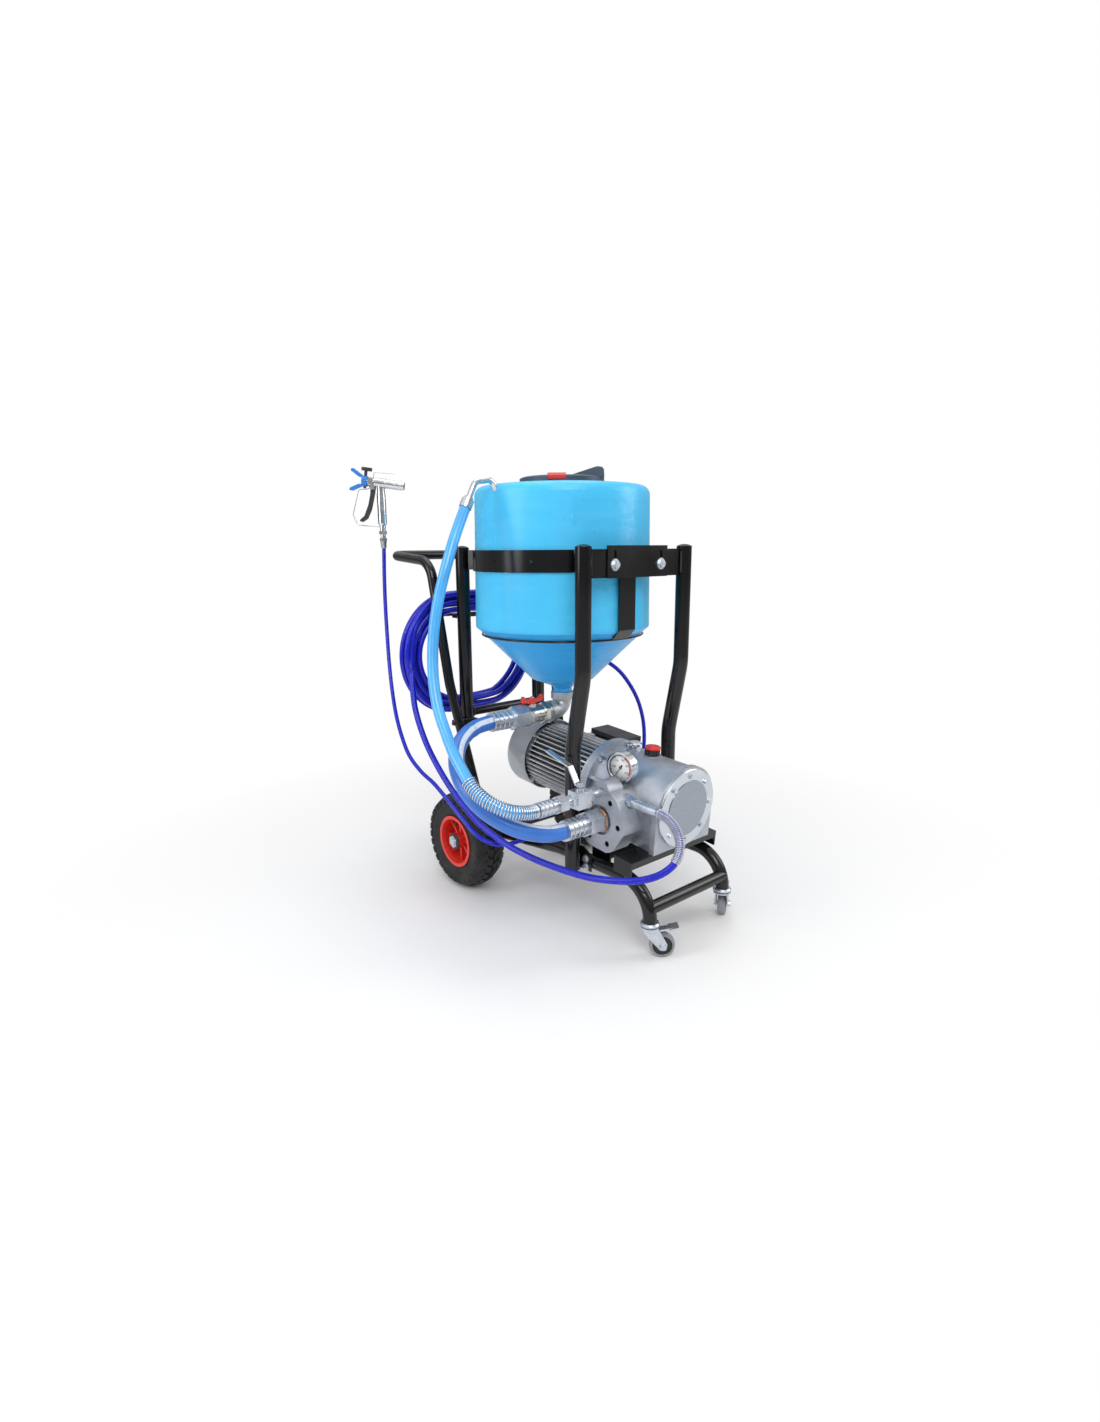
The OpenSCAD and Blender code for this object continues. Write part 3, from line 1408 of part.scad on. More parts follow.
module gun_body() {
    color("silver") gun_place() {
        difference() {
            union() {
                cylinder(d1 = 15, d2 = 18, h = 20);
                translate([0, 0, 20]) hexagon(18, 9);
                translate([0, 0, 29]) cylinder(d = 15, h = 12);
                translate([0, 0, 40]) hexagon(20, 9);
                translate([0, 0, 49]) cylinder(d = 17, h = 18);
                translate([0, 0, 66]) cylinder(d1 = 22, d2 = 25, h = 4);
                translate([0, 0, 70]) cylinder(d = 25, h = 82);
                translate([0, 0, 152]) cylinder(d = 22, h = 22);
                barrel_place() {
                    translate([0, 0, -68]) cylinder(d = 22, h = 10);
                    translate([0, 0, -58]) cylinder(d = 25, h = 44);
                    translate([0, 0, -14]) cylinder(d = 28, h = 30);
                    translate([0, 0, 16]) cylinder(d = 20, h = 20);
                    translate([0, 0, 20]) hexagon(24, 14);
                }
                // ears of the trigger's pin
                translate([16, -11, barrel_h - 18]) cube([12, 22, 22]);
            }
            translate([0, 0, -1]) cylinder(d = 8, h = 21);
            translate([10, -7.5, barrel_h - 24]) cube([24, 15, 22]);
            translate([22, -20, barrel_h - 10]) to_back() cylinder(d = 4, h = 40);
        }
        translate([22, -11, barrel_h - 10]) to_back() cylinder(d = 4, h = 22);
        // wire guard round the trigger, and the wire hook over the body
        rod([[30, 0, barrel_h + 1], [33, 0, barrel_h - 15.5], [64, 0, barrel_h - 17], [84, 0, 96], [72, 0, 66],
            [8, 0, 61]], [0, 6, 10, 14, 12, 0], 3);
        rod([[20, 0, barrel_h + 12], [18, 0, barrel_h + 30], [-40, 0, barrel_h + 26]], [0, 6, 0], 2.6);
    }
}

module gun_trigger() {
    color([0.1, 0.1, 0.1]) gun_place()
        difference() {
            plate_y(-7, 7)
                polygon([[17, barrel_h - 4], [27, barrel_h - 5], [30, 150], [37, 122], [50, 92], [62, 82],
                    [64, 77], [56, 75], [42, 84], [30, 108], [23, 134], [17, 158]]);
            translate([22, -20, barrel_h - 10]) to_back() cylinder(d = 4.1, h = 40);
        }
}

module tip_guard() {
    color([0.1, 0.4, 0.9]) gun_place() barrel_place()
        difference() {
            union() {
                translate([0, 0, 36.3]) cylinder(d = 30, h = 16);
                for (s = [-1, 1])
                    rotate([0, 0, 90]) plate_y(-6, 6)
                        polygon([[s * 8, 48], [s * 15, 50], [s * 33, 84], [s * 31, 92], [s * 26, 92],
                            [s * 12, 62]]);
            }
            translate([0, 0, 30]) cylinder(d = 13, h = 60);
            translate([-30, 0, 44]) rotate([0, 90, 0]) cylinder(d = 9.1, h = 60);
        }
}

module spray_tip() {
    color([0.1, 0.1, 0.1]) gun_place() barrel_place()
        difference() {
            union() {
                translate([-30, 0, 44]) rotate([0, 90, 0]) cylinder(d = 9, h = 42);
                translate([-36, -19, 39]) cube([7, 44, 10]);
            }
            translate([0, 0, 30]) cylinder(d = 3, h = 30);
        }
}

posts();
base_rails();
handle();
axle();
brackets();
hoop();
front_plate();
slide_plate();
retaining_ring();
hose_hook();
frame_bolts();
caster_tops();
tank();
lid_ring();
tank_lid();
lid_latch();
return_spout();
elbow();
suction_valve_body();
suction_valve_ball();
suction_valve_handle();
hose_ends();
suction_hose();
return_hose();
spring_guards();
return_valve_body();
return_valve_lever();
motor_housing();
fan_cowl();
cooling_fan();
motor_rotor();
terminal_box();
crankcase();
front_cover();
cap_screws();
eccentric();
piston();
diaphragm();
pump_head();
gauge_case();
gauge_pointer();
oil_cap();
pressure_knob();
pressure_hose();
hose_coil();
whip_hose();
gun_body();
gun_trigger();
tip_guard();
spray_tip();
tyre_left();
tyre_right();
rim_left();
rim_right();
caster_fork_left();
caster_fork_right();
caster_wheel_left();
caster_wheel_right();
caster_brake_left();
caster_brake_right();
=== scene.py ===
"""Looks of a wheeled airless paint sprayer: hoses, tyres, gauge, welds, finishes, stage."""

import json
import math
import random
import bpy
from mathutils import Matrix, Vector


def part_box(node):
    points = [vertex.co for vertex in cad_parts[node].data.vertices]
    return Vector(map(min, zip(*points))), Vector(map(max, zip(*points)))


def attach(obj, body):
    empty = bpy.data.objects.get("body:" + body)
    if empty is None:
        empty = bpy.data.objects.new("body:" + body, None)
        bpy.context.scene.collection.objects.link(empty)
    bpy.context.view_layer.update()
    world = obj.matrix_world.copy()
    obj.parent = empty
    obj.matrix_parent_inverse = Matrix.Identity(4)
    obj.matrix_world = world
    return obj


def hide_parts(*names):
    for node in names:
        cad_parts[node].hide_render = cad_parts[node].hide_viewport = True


bl_info = {
    "name": "Airless paint sprayer",
    "version": (1, 0, 0),
    "blender": (4, 5, 0),
    "location": "View3D > Sidebar > Sprayer",
    "description": "Builds the sprayer's hoses, tyres, gauge, welds and finishes on its frame",
    "category": "Object",
}

import bmesh
import bpy
from mathutils import Matrix, Vector

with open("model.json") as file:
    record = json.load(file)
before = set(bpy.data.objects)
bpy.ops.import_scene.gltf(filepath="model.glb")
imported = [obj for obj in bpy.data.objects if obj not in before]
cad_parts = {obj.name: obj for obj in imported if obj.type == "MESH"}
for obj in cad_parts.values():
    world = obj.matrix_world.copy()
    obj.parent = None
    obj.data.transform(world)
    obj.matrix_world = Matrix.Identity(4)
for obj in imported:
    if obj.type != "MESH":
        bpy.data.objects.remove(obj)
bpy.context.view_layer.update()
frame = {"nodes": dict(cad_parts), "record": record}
nodes = frame["nodes"]

# Routes along the middles of the hoses, in millimetres
SUCTION_ROUTE = [
    (-258, -292.4, 287.5), (-298, -288, 290), (-335, -276, 299), (-367, -256, 312),
    (-392, -229, 330), (-409, -198, 350), (-417, -164, 373), (-415, -129, 396), (-403, -94, 419),
    (-382, -63, 440), (-354, -37, 458), (-319, -17, 471), (-300, -10, 475), (-280, -4, 479),
    (-240, 0, 482),
]
RETURN_ROUTE = [
    (-302, -10, 991), (-339, -22, 930), (-368, -29, 868), (-389, -27, 803), (-403, -24, 737),
    (-414, -29, 673), (-423, -43, 611), (-430, -68, 554), (-433, -101, 505), (-437, -137, 464),
    (-440, -177, 432), (-438, -213, 401), (-424, -249, 379), (-395, -276, 362), (-360, -289, 354),
    (-335, -292.4, 353),
]
PRESSURE_ROUTE = [
    (-110, -436, 333), (-110, -464, 327), (-114, -490, 312), (-121, -508, 289), (-133, -514, 264),
    (-148, -508, 241), (-167, -490, 222), (-187, -464, 209), (-205, -430, 200), (-220, -392, 194),
    (-232, -345, 188), (-241, -290, 185), (-250, -230, 185), (-258, -175, 188), (-266, -120, 195),
    (-274, -65, 208), (-281, 0, 229), (-283, 85, 270), (-283, 171, 330), (-283, 240, 400),
    (-280, 290, 485), (-266, 320, 575),
]
WHIP_ROUTE = [
    (165, 322, 622), (168, 240, 615), (164, 155, 609), (159, 75, 606), (162, 12, 597),
    (189, -22, 568), (225, -32, 524), (256, -36, 474), (275, -39, 418), (278, -43, 362),
    (267, -48, 306), (243, -54, 252), (208, -58, 209), (168, -60, 187), (120, -60, 179),
    (40, -60, 174), (-40, -60, 174), (-120, -60, 180), (-178, -61, 180), (-234, -62, 181),
    (-276, -50, 189), (-298, -16, 206), (-305, 35, 235), (-306, 95, 267), (-305, 165, 298),
    (-302, 235, 316), (-295, 305, 344), (-283, 362, 384), (-270, 412, 435), (-256, 454, 500),
    (-243, 487, 575), (-233, 509, 655), (-224, 527, 740), (-216, 539, 820), (-208, 547, 904),
]
# Places of the turns in the coil's section: radius from the coil's middle, and y, in millimetres
COIL_SLOTS = [
    (160, 345), (169, 357), (148, 357), (125, 357), (139, 345), (128, 331), (149, 331), (169, 331),
]
COIL_LEFT = -105
COIL_MID = 608
# The pump's own origin, its tilt in degrees, and the middle of its front cover
PUMP_DATUM = (0.017, -0.409, 0.299)
PUMP_TILT = 5
COVER_CENTRE = (0.017, -0.41, 0.309)


# ---------------------------------------------------------------- settings


def length(name, description, default, low):
    return bpy.props.FloatProperty(name=name, description=description, default=default, min=low,
                                   unit="LENGTH")


def colour(name, description, default):
    return bpy.props.FloatVectorProperty(name=name, description=description, default=default,
                                         subtype="COLOR", size=3, min=0, max=1)


class SprayerSizes(bpy.types.PropertyGroup):
    suction_d: length("Suction hose", "Diameter of the suction hose", 0.037, 0.02)
    return_d: length("Return hose", "Diameter of the return hose", 0.025, 0.01)
    pressure_d: length("Pressure hose", "Diameter of the pressure hose and its coil", 0.016, 0.006)
    whip_d: length("Whip hose", "Diameter of the thin hose at the gun", 0.011, 0.005)
    tread_depth: length("Tread depth", "Depth of the tyre's tread", 0.006, 0.002)
    tread_blocks: bpy.props.IntProperty(
        name="Tread blocks", description="Number of blocks round a tyre", default=30, min=12)
    bead: length("Weld bead", "Thickness of the frame's weld beads", 0.005, 0.002)


class SprayerColours(bpy.types.PropertyGroup):
    tank: colour("Tank", "Colour of the moulded tank", (0.06, 0.54, 1.0))
    frame: colour("Frame", "Colour of the powder-coated frame", (0.004, 0.004, 0.005))
    suction: colour("Suction hose", "Colour of the suction hose", (0.035, 0.17, 0.6))
    returning: colour("Return hose", "Colour of the return hose", (0.07, 0.42, 0.9))
    pressure: colour("Pressure hose", "Colour of the pressure hose", (0.009, 0.013, 0.5))
    rims: colour("Rims", "Colour of the rims", (0.78, 0.025, 0.018))
    castings: colour("Castings", "Colour of the pump's castings", (0.44, 0.47, 0.52))


# ---------------------------------------------------------------- mesh helpers


def metres(points):
    return [Vector(p) * 0.001 for p in points]


def curve_through(points, steps):
    """Points of a smooth line through the given points."""
    line = []
    last = len(points) - 1
    for i in range(last):
        a, b = points[max(i - 1, 0)], points[i]
        c, d = points[i + 1], points[min(i + 2, last)]
        for k in range(steps):
            t = k / steps
            line.append(0.5 * (2 * b + (c - a) * t + (2 * a - 5 * b + 4 * c - d) * t * t
                               + (3 * b - a - 3 * c + d) * t ** 3))
    line.append(points[last])
    return line


def eased(share):
    """A share kept between 0 and 1, slow at both ends."""
    share = min(1.0, max(0.0, share))
    return share * share * (3 - 2 * share)


def finished(name, bm, smooth=True):
    """An object from a bmesh."""
    bmesh.ops.recalc_face_normals(bm, faces=bm.faces)
    for face in bm.faces:
        face.smooth = smooth
    mesh = bpy.data.meshes.new(name)
    bm.to_mesh(mesh)
    bm.free()
    piece = bpy.data.objects.new(name, mesh)
    bpy.context.scene.collection.objects.link(piece)
    return piece


def dress(piece, material, body="chassis"):
    """Gives a piece its finish and the body that carries it."""
    piece.data.materials.clear()
    piece.data.materials.append(bpy.data.materials[material])
    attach(piece, body)
    return piece


def bridge(bm, rings, around=True):
    """Quads between rings of points. With around, the last ring is joined to the first."""
    for low, high in zip(rings, rings[1:] + rings[:1] if around else rings[1:]):
        for i, spot in enumerate(low):
            j = (i + 1) % len(low)
            bm.faces.new((spot, low[j], high[j], high[i]))


def cap(bm, rings):
    bm.faces.new(rings[0][::-1])
    bm.faces.new(rings[-1])


def ring_at(place, radius, fat, lean, angle, sides=8):
    """Points of a bead's section, at an angle round the +Z of a place."""
    spots = []
    for j in range(sides):
        t = 2 * math.pi * j / sides
        r = radius + fat * math.cos(t)
        spots.append(place @ Vector((r * math.cos(angle), r * math.sin(angle),
                                     fat * math.sin(t) + lean)))
    return spots


def tube(name, line, radius, sides, up=Vector((0, 0, 1))):
    """A round tube along a line, with a UV map: u round it from its top, v along it in metres."""
    bm = bmesh.new()
    uv = bm.loops.layers.uv.new("lay")
    rings, far = [], [0.0]
    side = None
    for i, point in enumerate(line):
        ahead = (line[min(i + 1, len(line) - 1)] - line[max(i - 1, 0)]).normalized()
        if side is None:
            side = up.cross(ahead).normalized()
        side = (side - ahead * side.dot(ahead)).normalized()
        lift = ahead.cross(side)
        rings.append([bm.verts.new(point + radius * (math.sin(2 * math.pi * k / sides) * side
                                                     + math.cos(2 * math.pi * k / sides) * lift))
                      for k in range(sides)])
        if i:
            far.append(far[-1] + (point - line[i - 1]).length)
    for i in range(len(line) - 1):
        for k in range(sides):
            m = (k + 1) % sides
            face = bm.faces.new((rings[i][k], rings[i][m], rings[i + 1][m], rings[i + 1][k]))
            for loop, u, v in zip(face.loops, (k, k + 1, k + 1, k), (i, i, i + 1, i + 1)):
                loop[uv].uv = (u / sides, far[v])
    bm.faces.new(rings[0])
    bm.faces.new(rings[-1][::-1])
    return finished(name, bm)


def lathe(name, profile, place, turns=64):
    """Turns a closed profile of (radius, height) about the +Z of a place."""
    bm = bmesh.new()
    rings = []
    for k in range(turns):
        a = 2 * math.pi * k / turns
        rings.append([bm.verts.new(place @ Vector((r * math.cos(a), r * math.sin(a), z)))
                      for r, z in profile])
    bridge(bm, rings)
    bmesh.ops.remove_doubles(bm, verts=bm.verts, dist=1e-6)
    return finished(name, bm)


def rotation(degrees, axis):
    return Matrix.Rotation(math.radians(degrees), 4, axis)


def along(start, axis):
    """A place whose +Z is the axis."""
    return Matrix.Translation(start) @ Vector(axis).to_track_quat("Z", "Y").to_matrix().to_4x4()


# ---------------------------------------------------------------- shader helpers


def put(tree, socket, value):
    if isinstance(value, bpy.types.NodeSocket):
        tree.links.new(value, socket)
    elif value is not None:
        if socket.type == "RGBA" and len(value) == 3:
            value = (*value, 1)
        socket.default_value = value


def node(tree, kind, inputs=None, out=0, **settings):
    made = tree.nodes.new(kind)
    for key, value in settings.items():
        setattr(made, key, value)
    for key, value in (inputs or {}).items():
        put(tree, made.inputs[key], value)
    return made.outputs[out]


def math_node(tree, operation, a, b=None):
    return node(tree, "ShaderNodeMath", {0: a, 1: b}, operation=operation)


def times(tree, a, b):
    return math_node(tree, "MULTIPLY", a, b)


def plus(tree, a, b):
    return math_node(tree, "ADD", a, b)


def span(tree, value, low, high, to_low=0.0, to_high=1.0):
    return node(tree, "ShaderNodeMapRange",
                {"Value": value, "From Min": low, "From Max": high, "To Min": to_low,
                 "To Max": to_high})


def blend_colours(tree, factor, a, b):
    return node(tree, "ShaderNodeMix", {0: factor, 6: a, 7: b}, out=2, data_type="RGBA")


def noise(tree, vector, scale, detail=3.0):
    return node(tree, "ShaderNodeTexNoise", {"Vector": vector, "Scale": scale, "Detail": detail})


def stretched(tree, vector, scale):
    return node(tree, "ShaderNodeMapping", {"Vector": vector, "Scale": scale})


def place_of(tree):
    return node(tree, "ShaderNodeTexCoord", out="Object")


def along_axis(tree, axis):
    return node(tree, "ShaderNodeSeparateXYZ", {0: place_of(tree)}, out=axis)


def away_from(tree, centre):
    return node(tree, "ShaderNodeVectorMath", {0: place_of(tree), 1: centre}, operation="SUBTRACT")


def size_of(tree, vector):
    return node(tree, "ShaderNodeVectorMath", {0: vector}, out="Value", operation="LENGTH")


def new_group(name, inputs, outputs, build):
    tree = bpy.data.node_groups.new(name, "ShaderNodeTree")
    for label, value in inputs:
        kind = "NodeSocketVector" if isinstance(value, tuple) else "NodeSocketFloat"
        socket = tree.interface.new_socket(name=label, in_out="INPUT", socket_type=kind)
        socket.default_value = value
    for label in outputs:
        tree.interface.new_socket(name=label, in_out="OUTPUT", socket_type="NodeSocketFloat")
    ins = tree.nodes.new("NodeGroupInput").outputs
    outs = tree.nodes.new("NodeGroupOutput").inputs
    for label, value in build(tree, ins).items():
        tree.links.new(value, outs[label])
    return tree


def build_groups():
    """The surface effects that several finishes share."""

    def edge_wear(tree, ins):
        rounded = node(tree, "ShaderNodeBevel", {"Radius": ins["Radius"]}, samples=4)
        flat = node(tree, "ShaderNodeNewGeometry", out="Normal")
        same = node(tree, "ShaderNodeVectorMath", {0: rounded, 1: flat}, out="Value",
                    operation="DOT_PRODUCT")
        bent = span(tree, same, 0.995, 0.86)
        patches = span(tree, noise(tree, place_of(tree), 55.0, 4.0), 0.4, 0.62)
        return {"Mask": math_node(tree, "MULTIPLY",
                                  times(tree, bent, patches), ins["Amount"])}

    def grain(tree, ins):
        cloud = noise(tree, place_of(tree), ins["Cloud Scale"], 4.0)
        fine = noise(tree, place_of(tree), ins["Fine Scale"], 2.0)
        return {"Cloud": span(tree, cloud, 0.3, 0.7), "Fine": fine}

    def dust(tree, ins):
        facing = node(tree, "ShaderNodeSeparateXYZ",
                      {0: node(tree, "ShaderNodeNewGeometry", out="Normal")}, out="Z")
        up = span(tree, facing, 0.35, 1.0)
        film = span(tree, noise(tree, place_of(tree), 24.0, 5.0), 0.35, 0.75)
        low = span(tree, along_axis(tree, "Z"), 0.4, 0.02)
        top = times(tree, up, film)
        splash = times(tree, times(tree, film, low), 0.5)
        return {"Mask": times(tree, math_node(tree, "MAXIMUM", top, splash),
                                  ins["Amount"])}

    def scratches(tree, ins):
        lines = noise(tree, stretched(tree, place_of(tree), ins["Stretch"]), 30.0, 2.0)
        return {"Mask": times(tree, span(tree, lines, 0.66, 0.74), ins["Amount"])}

    def spangle(tree, ins):
        cells = node(tree, "ShaderNodeTexVoronoi",
                     {"Vector": place_of(tree), "Scale": ins["Scale"]}, out="Color")
        return {"Tone": node(tree, "ShaderNodeSeparateColor", {0: cells})}

    def turned(tree, ins):
        spot = away_from(tree, ins["Centre"])
        flat = node(tree, "ShaderNodeVectorMath", {0: spot, 1: ins["Plane"]},
                    operation="MULTIPLY")
        across = node(tree, "ShaderNodeCombineXYZ", {"X": size_of(tree, flat)})
        return {"Rings": noise(tree, across, ins["Scale"], 3.0)}

    new_group("edge wear", [("Radius", 0.0015), ("Amount", 0.5)], ["Mask"], edge_wear)
    new_group("grain", [("Cloud Scale", 8.0), ("Fine Scale", 500.0)], ["Cloud", "Fine"], grain)
    new_group("dust", [("Amount", 0.2)], ["Mask"], dust)
    new_group("scratches", [("Amount", 0.3), ("Stretch", (1.0, 12.0, 1.0))], ["Mask"], scratches)
    new_group("spangle", [("Scale", 160.0)], ["Tone"], spangle)
    new_group("turned", [("Centre", (0.0, 0.0, 0.0)), ("Plane", (1.0, 1.0, 0.0)), ("Scale", 900.0)],
              ["Rings"], turned)


def use(tree, group, out, **inputs):
    made = tree.nodes.new("ShaderNodeGroup")
    made.node_tree = bpy.data.node_groups[group]
    for key, value in inputs.items():
        put(tree, made.inputs[key.replace("_", " ")], value)
    return made.outputs[out]


def surface(name):
    """A new material's tree and its shader."""
    material = bpy.data.materials.new(name)
    material.use_nodes = True
    tree = material.node_tree
    tree.nodes.clear()
    shader = tree.nodes.new("ShaderNodeBsdfPrincipled")
    tree.links.new(shader.outputs[0], tree.nodes.new("ShaderNodeOutputMaterial").inputs[0])
    return tree, shader


def scaled(colour, share):
    return tuple(min(1.0, c * share) for c in colour)


def finish(name, colour, roughness, metallic=0.0, spread=0.12, cloud=7.0, fine=700.0, bump=0.00008,
           wear=None, wear_amount=0.5, dust=0.15, marks=0.15, coat=0.0,
           extra=None, **constants):
    """A finish with clouding, grain, worn edges, scratches and dust."""
    tree, shader = surface(name)
    clouds = use(tree, "grain", "Cloud", Cloud_Scale=cloud, Fine_Scale=fine)
    height = use(tree, "grain", "Fine", Cloud_Scale=cloud, Fine_Scale=fine)
    tone = blend_colours(tree, clouds, scaled(colour, 1 - spread), scaled(colour, 1 + spread))
    if extra:
        tone, height = extra(tree, tone, height)
    rough = span(tree, clouds, 0.0, 1.0, max(roughness - 0.06, 0.03), roughness + 0.08)
    scuffs = use(tree, "scratches", "Mask", Amount=marks, Stretch=(6.0, 1.0, 1.3))
    rough = plus(tree, rough, times(tree, scuffs, 0.5))
    if wear:
        worn = use(tree, "edge wear", "Mask", Radius=0.0012, Amount=wear_amount)
        tone = blend_colours(tree, worn, tone, wear)
    film = use(tree, "dust", "Mask", Amount=dust)
    tone = blend_colours(tree, film, tone, (0.34, 0.32, 0.29))
    rough = plus(tree, rough, times(tree, film, 0.5))
    relief = node(tree, "ShaderNodeBump", {"Strength": 1.0, "Distance": bump, "Height": height})
    constants.update(Base_Color=tone, Roughness=rough, Metallic=metallic, Coat_Weight=coat,
                     Coat_Roughness=0.12, Normal=relief)
    for key, value in constants.items():
        put(tree, shader.inputs[key.replace("_", " ")], value)
    return tree, shader


# ---------------------------------------------------------------- finishes


def paint_finishes(colours):
    """The finishes of the frame's slots, under the slots' names."""
    steel = (0.5, 0.5, 0.5)

    def cast(tree, tone, height):
        lumps = noise(tree, place_of(tree), 420.0, 5.0)
        return tone, plus(tree, height, times(tree, lumps, 2.0))

    def hot_dip(tree, tone, height):
        flakes = use(tree, "spangle", "Tone", Scale=150.0)
        return blend_colours(tree, span(tree, flakes, 0.0, 1.0, 0.0, 0.35), tone,
                             (0.8, 0.83, 0.86)), height

    def lathe_lines(tree, tone, height):
        rings = use(tree, "turned", "Rings", Centre=(0.017, 0.0, 0.309), Plane=(1.0, 0.0, 1.0),
                    Scale=1100.0)
        shade = span(tree, rings, 0.3, 0.7, 0.0, 0.4)
        tone = blend_colours(tree, shade, tone, (0.42, 0.45, 0.48))
        reach = size_of(tree, away_from(tree, COVER_CENTRE))
        plate = span(tree, reach, 0.0692, 0.0682, 0.0, 0.85)
        brushed = noise(tree, stretched(tree, place_of(tree), (4.0, 4.0, 260.0)), 8.0, 3.0)
        grey = blend_colours(tree, brushed, (0.2, 0.235, 0.28), (0.32, 0.36, 0.41))
        return blend_colours(tree, plate, tone, grey), rings

    def screw_blacking(tree, tone, height):
        left = span(tree, along_axis(tree, "X"), -0.098, -0.1)
        return blend_colours(tree, left, tone, (0.012, 0.012, 0.013)), height

    def wheel_core(centre):
        def core(tree, tone, height):
            hub = span(tree, size_of(tree, away_from(tree, centre)), 0.0242, 0.0234)
            return blend_colours(tree, hub, tone, (0.014, 0.014, 0.015)), height
        return core

    # Painted shade: the gaps between the motor's cooling fins are painted near-black, darker towards the fin
    # roots, where shade falls.
    def fin_gap_shade(tree, tone, height):
        level = node(tree, "ShaderNodeMapping", {"Vector": away_from(tree, PUMP_DATUM),
                                                 "Rotation": (math.radians(-PUMP_TILT), 0, 0)})
        parts = tree.nodes.new("ShaderNodeSeparateXYZ")
        put(tree, parts.inputs[0], level)
        square = plus(tree, times(tree, parts.outputs[0], parts.outputs[0]),
                           times(tree, parts.outputs[2], parts.outputs[2]))
        radius = math_node(tree, "SQRT", square)
        fin_root_shade = span(tree, radius, 0.0855, 0.08)
        between = times(tree, span(tree, parts.outputs[1], 0.262, 0.264),
                            span(tree, parts.outputs[1], 0.477, 0.475))
        return blend_colours(tree, times(tree, fin_root_shade, between), tone,
                             (0.03, 0.032, 0.036)), noise(tree, place_of(tree), 260.0, 2.0)

    def peel(tree, tone, height):
        return tone, noise(tree, place_of(tree), 260.0, 2.0)

    def moulded_with_cone_shade(tree, tone, height):
        low = along_axis(tree, "Z")
        # Painted shade: the downward-facing cone below the tank's shoulder is painted a darker, deeper blue.
        cone_shade = span(tree, low, 0.715, 0.695, 0.0, 0.55)
        tone = blend_colours(tree, cone_shade, tone, (0.01, 0.33, 1.0))
        flow = noise(tree, stretched(tree, place_of(tree), (3.0, 3.0, 18.0)), 3.0, 4.0)
        tone = blend_colours(tree, span(tree, flow, 0.45, 0.8, 0.0, 0.35), tone,
                             (0.12, 0.62, 1.0))
        pits = noise(tree, place_of(tree), 34.0, 3.0)
        return tone, plus(tree, times(tree, pits, 9.0), height)

    finish("black_powder_coat", tuple(colours.frame), 0.13, spread=0.3, bump=0.00006, extra=peel,
           wear=(0.1, 0.1, 0.11), wear_amount=0.3, dust=0.02, marks=0.08,
           Specular_IOR_Level=0.45)
    finish("zinc_plate", (0.56, 0.6, 0.66), 0.26, 0.85, spread=0.14, cloud=30.0, wear=steel,
           wear_amount=0.2, dust=0.08)
    finish("galvanised_iron", (0.46, 0.49, 0.52), 0.38, 0.9, spread=0.2, cloud=22.0, bump=0.0004,
           extra=hot_dip, dust=0.08)
    finish("nickel_brass", (0.62, 0.61, 0.57), 0.2, 1.0, cloud=26.0, dust=0.06)
    finish("bright_steel", (0.68, 0.7, 0.73), 0.16, 1.0, spread=0.1, cloud=40.0, dust=0.05)
    finish("cast_aluminium", tuple(colours.castings), 0.38, 0.8, spread=0.2, cloud=17.0,
           bump=0.0003, extra=cast, wear=(0.72, 0.74, 0.77), wear_amount=0.7, dust=0.12)
    finish("machined_aluminium", (0.62, 0.66, 0.7), 0.24, 1.0, spread=0.08, cloud=20.0,
           bump=0.00004, extra=lathe_lines, dust=0.06)
    finish("grey_paint", (0.42, 0.45, 0.48), 0.3, 0.6, bump=0.00012, extra=peel,
           wear=(0.7, 0.72, 0.74), wear_amount=0.6, dust=0.08, coat=0.2)
    # The motor's finish is its grey paint plus painted shade in the gaps between its fins.
    finish("motor_paint", (0.66, 0.68, 0.7), 0.26, 0.6, bump=0.00012, extra=fin_gap_shade,
           wear=(0.8, 0.82, 0.84), wear_amount=0.6, dust=0.04)
    finish("black_plastic", (0.02, 0.02, 0.022), 0.44, spread=0.2, fine=900.0, bump=0.0002,
           wear=(0.09, 0.09, 0.09), dust=0.14)
    finish("blue_plastic", (0.03, 0.2, 0.65), 0.3, spread=0.1, bump=0.0001, dust=0.06,
           wear=(0.2, 0.4, 0.8), wear_amount=0.4)
    # The tank's finish has moulding marks and painted shade on its cone.
    finish("tank_plastic", tuple(colours.tank), 0.3, spread=0.05, cloud=3.0, bump=0.00016,
           extra=moulded_with_cone_shade, dust=0.015, marks=0.2, Subsurface_Weight=0.2, Subsurface_Scale=0.03,
           Subsurface_Radius=(0.2, 0.6, 1.0), IOR=1.5)
    finish("lid_plastic", (0.045, 0.075, 0.11), 0.42, spread=0.15, bump=0.0003, fine=600.0,
           wear=(0.14, 0.18, 0.22), wear_amount=0.6, dust=0.18)
    finish("red_plastic", (0.72, 0.03, 0.02), 0.3, spread=0.08, dust=0.05,
           wear=(0.85, 0.2, 0.15), wear_amount=0.4)
    finish("red_enamel", tuple(colours.rims), 0.24, extra=peel, bump=0.0002,
           wear=(0.3, 0.24, 0.22), wear_amount=0.6, dust=0.12, coat=0.5)
    finish("tyre_rubber", (0.011, 0.0115, 0.0125), 0.6, spread=0.3, fine=420.0, bump=0.0004,
           wear=(0.06, 0.06, 0.06), wear_amount=0.9, dust=0.16, Specular_IOR_Level=0.3)
    finish("grey_rubber", (0.2, 0.205, 0.215), 0.55, spread=0.15, bump=0.0002,
           wear=(0.3, 0.3, 0.3), dust=0.25)
    finish("head_screws", (0.56, 0.6, 0.66), 0.26, 0.85, spread=0.14, cloud=30.0, dust=0.06,
           extra=screw_blacking)
    for side in ("left", "right"):
        low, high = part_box("caster_wheel_" + side)
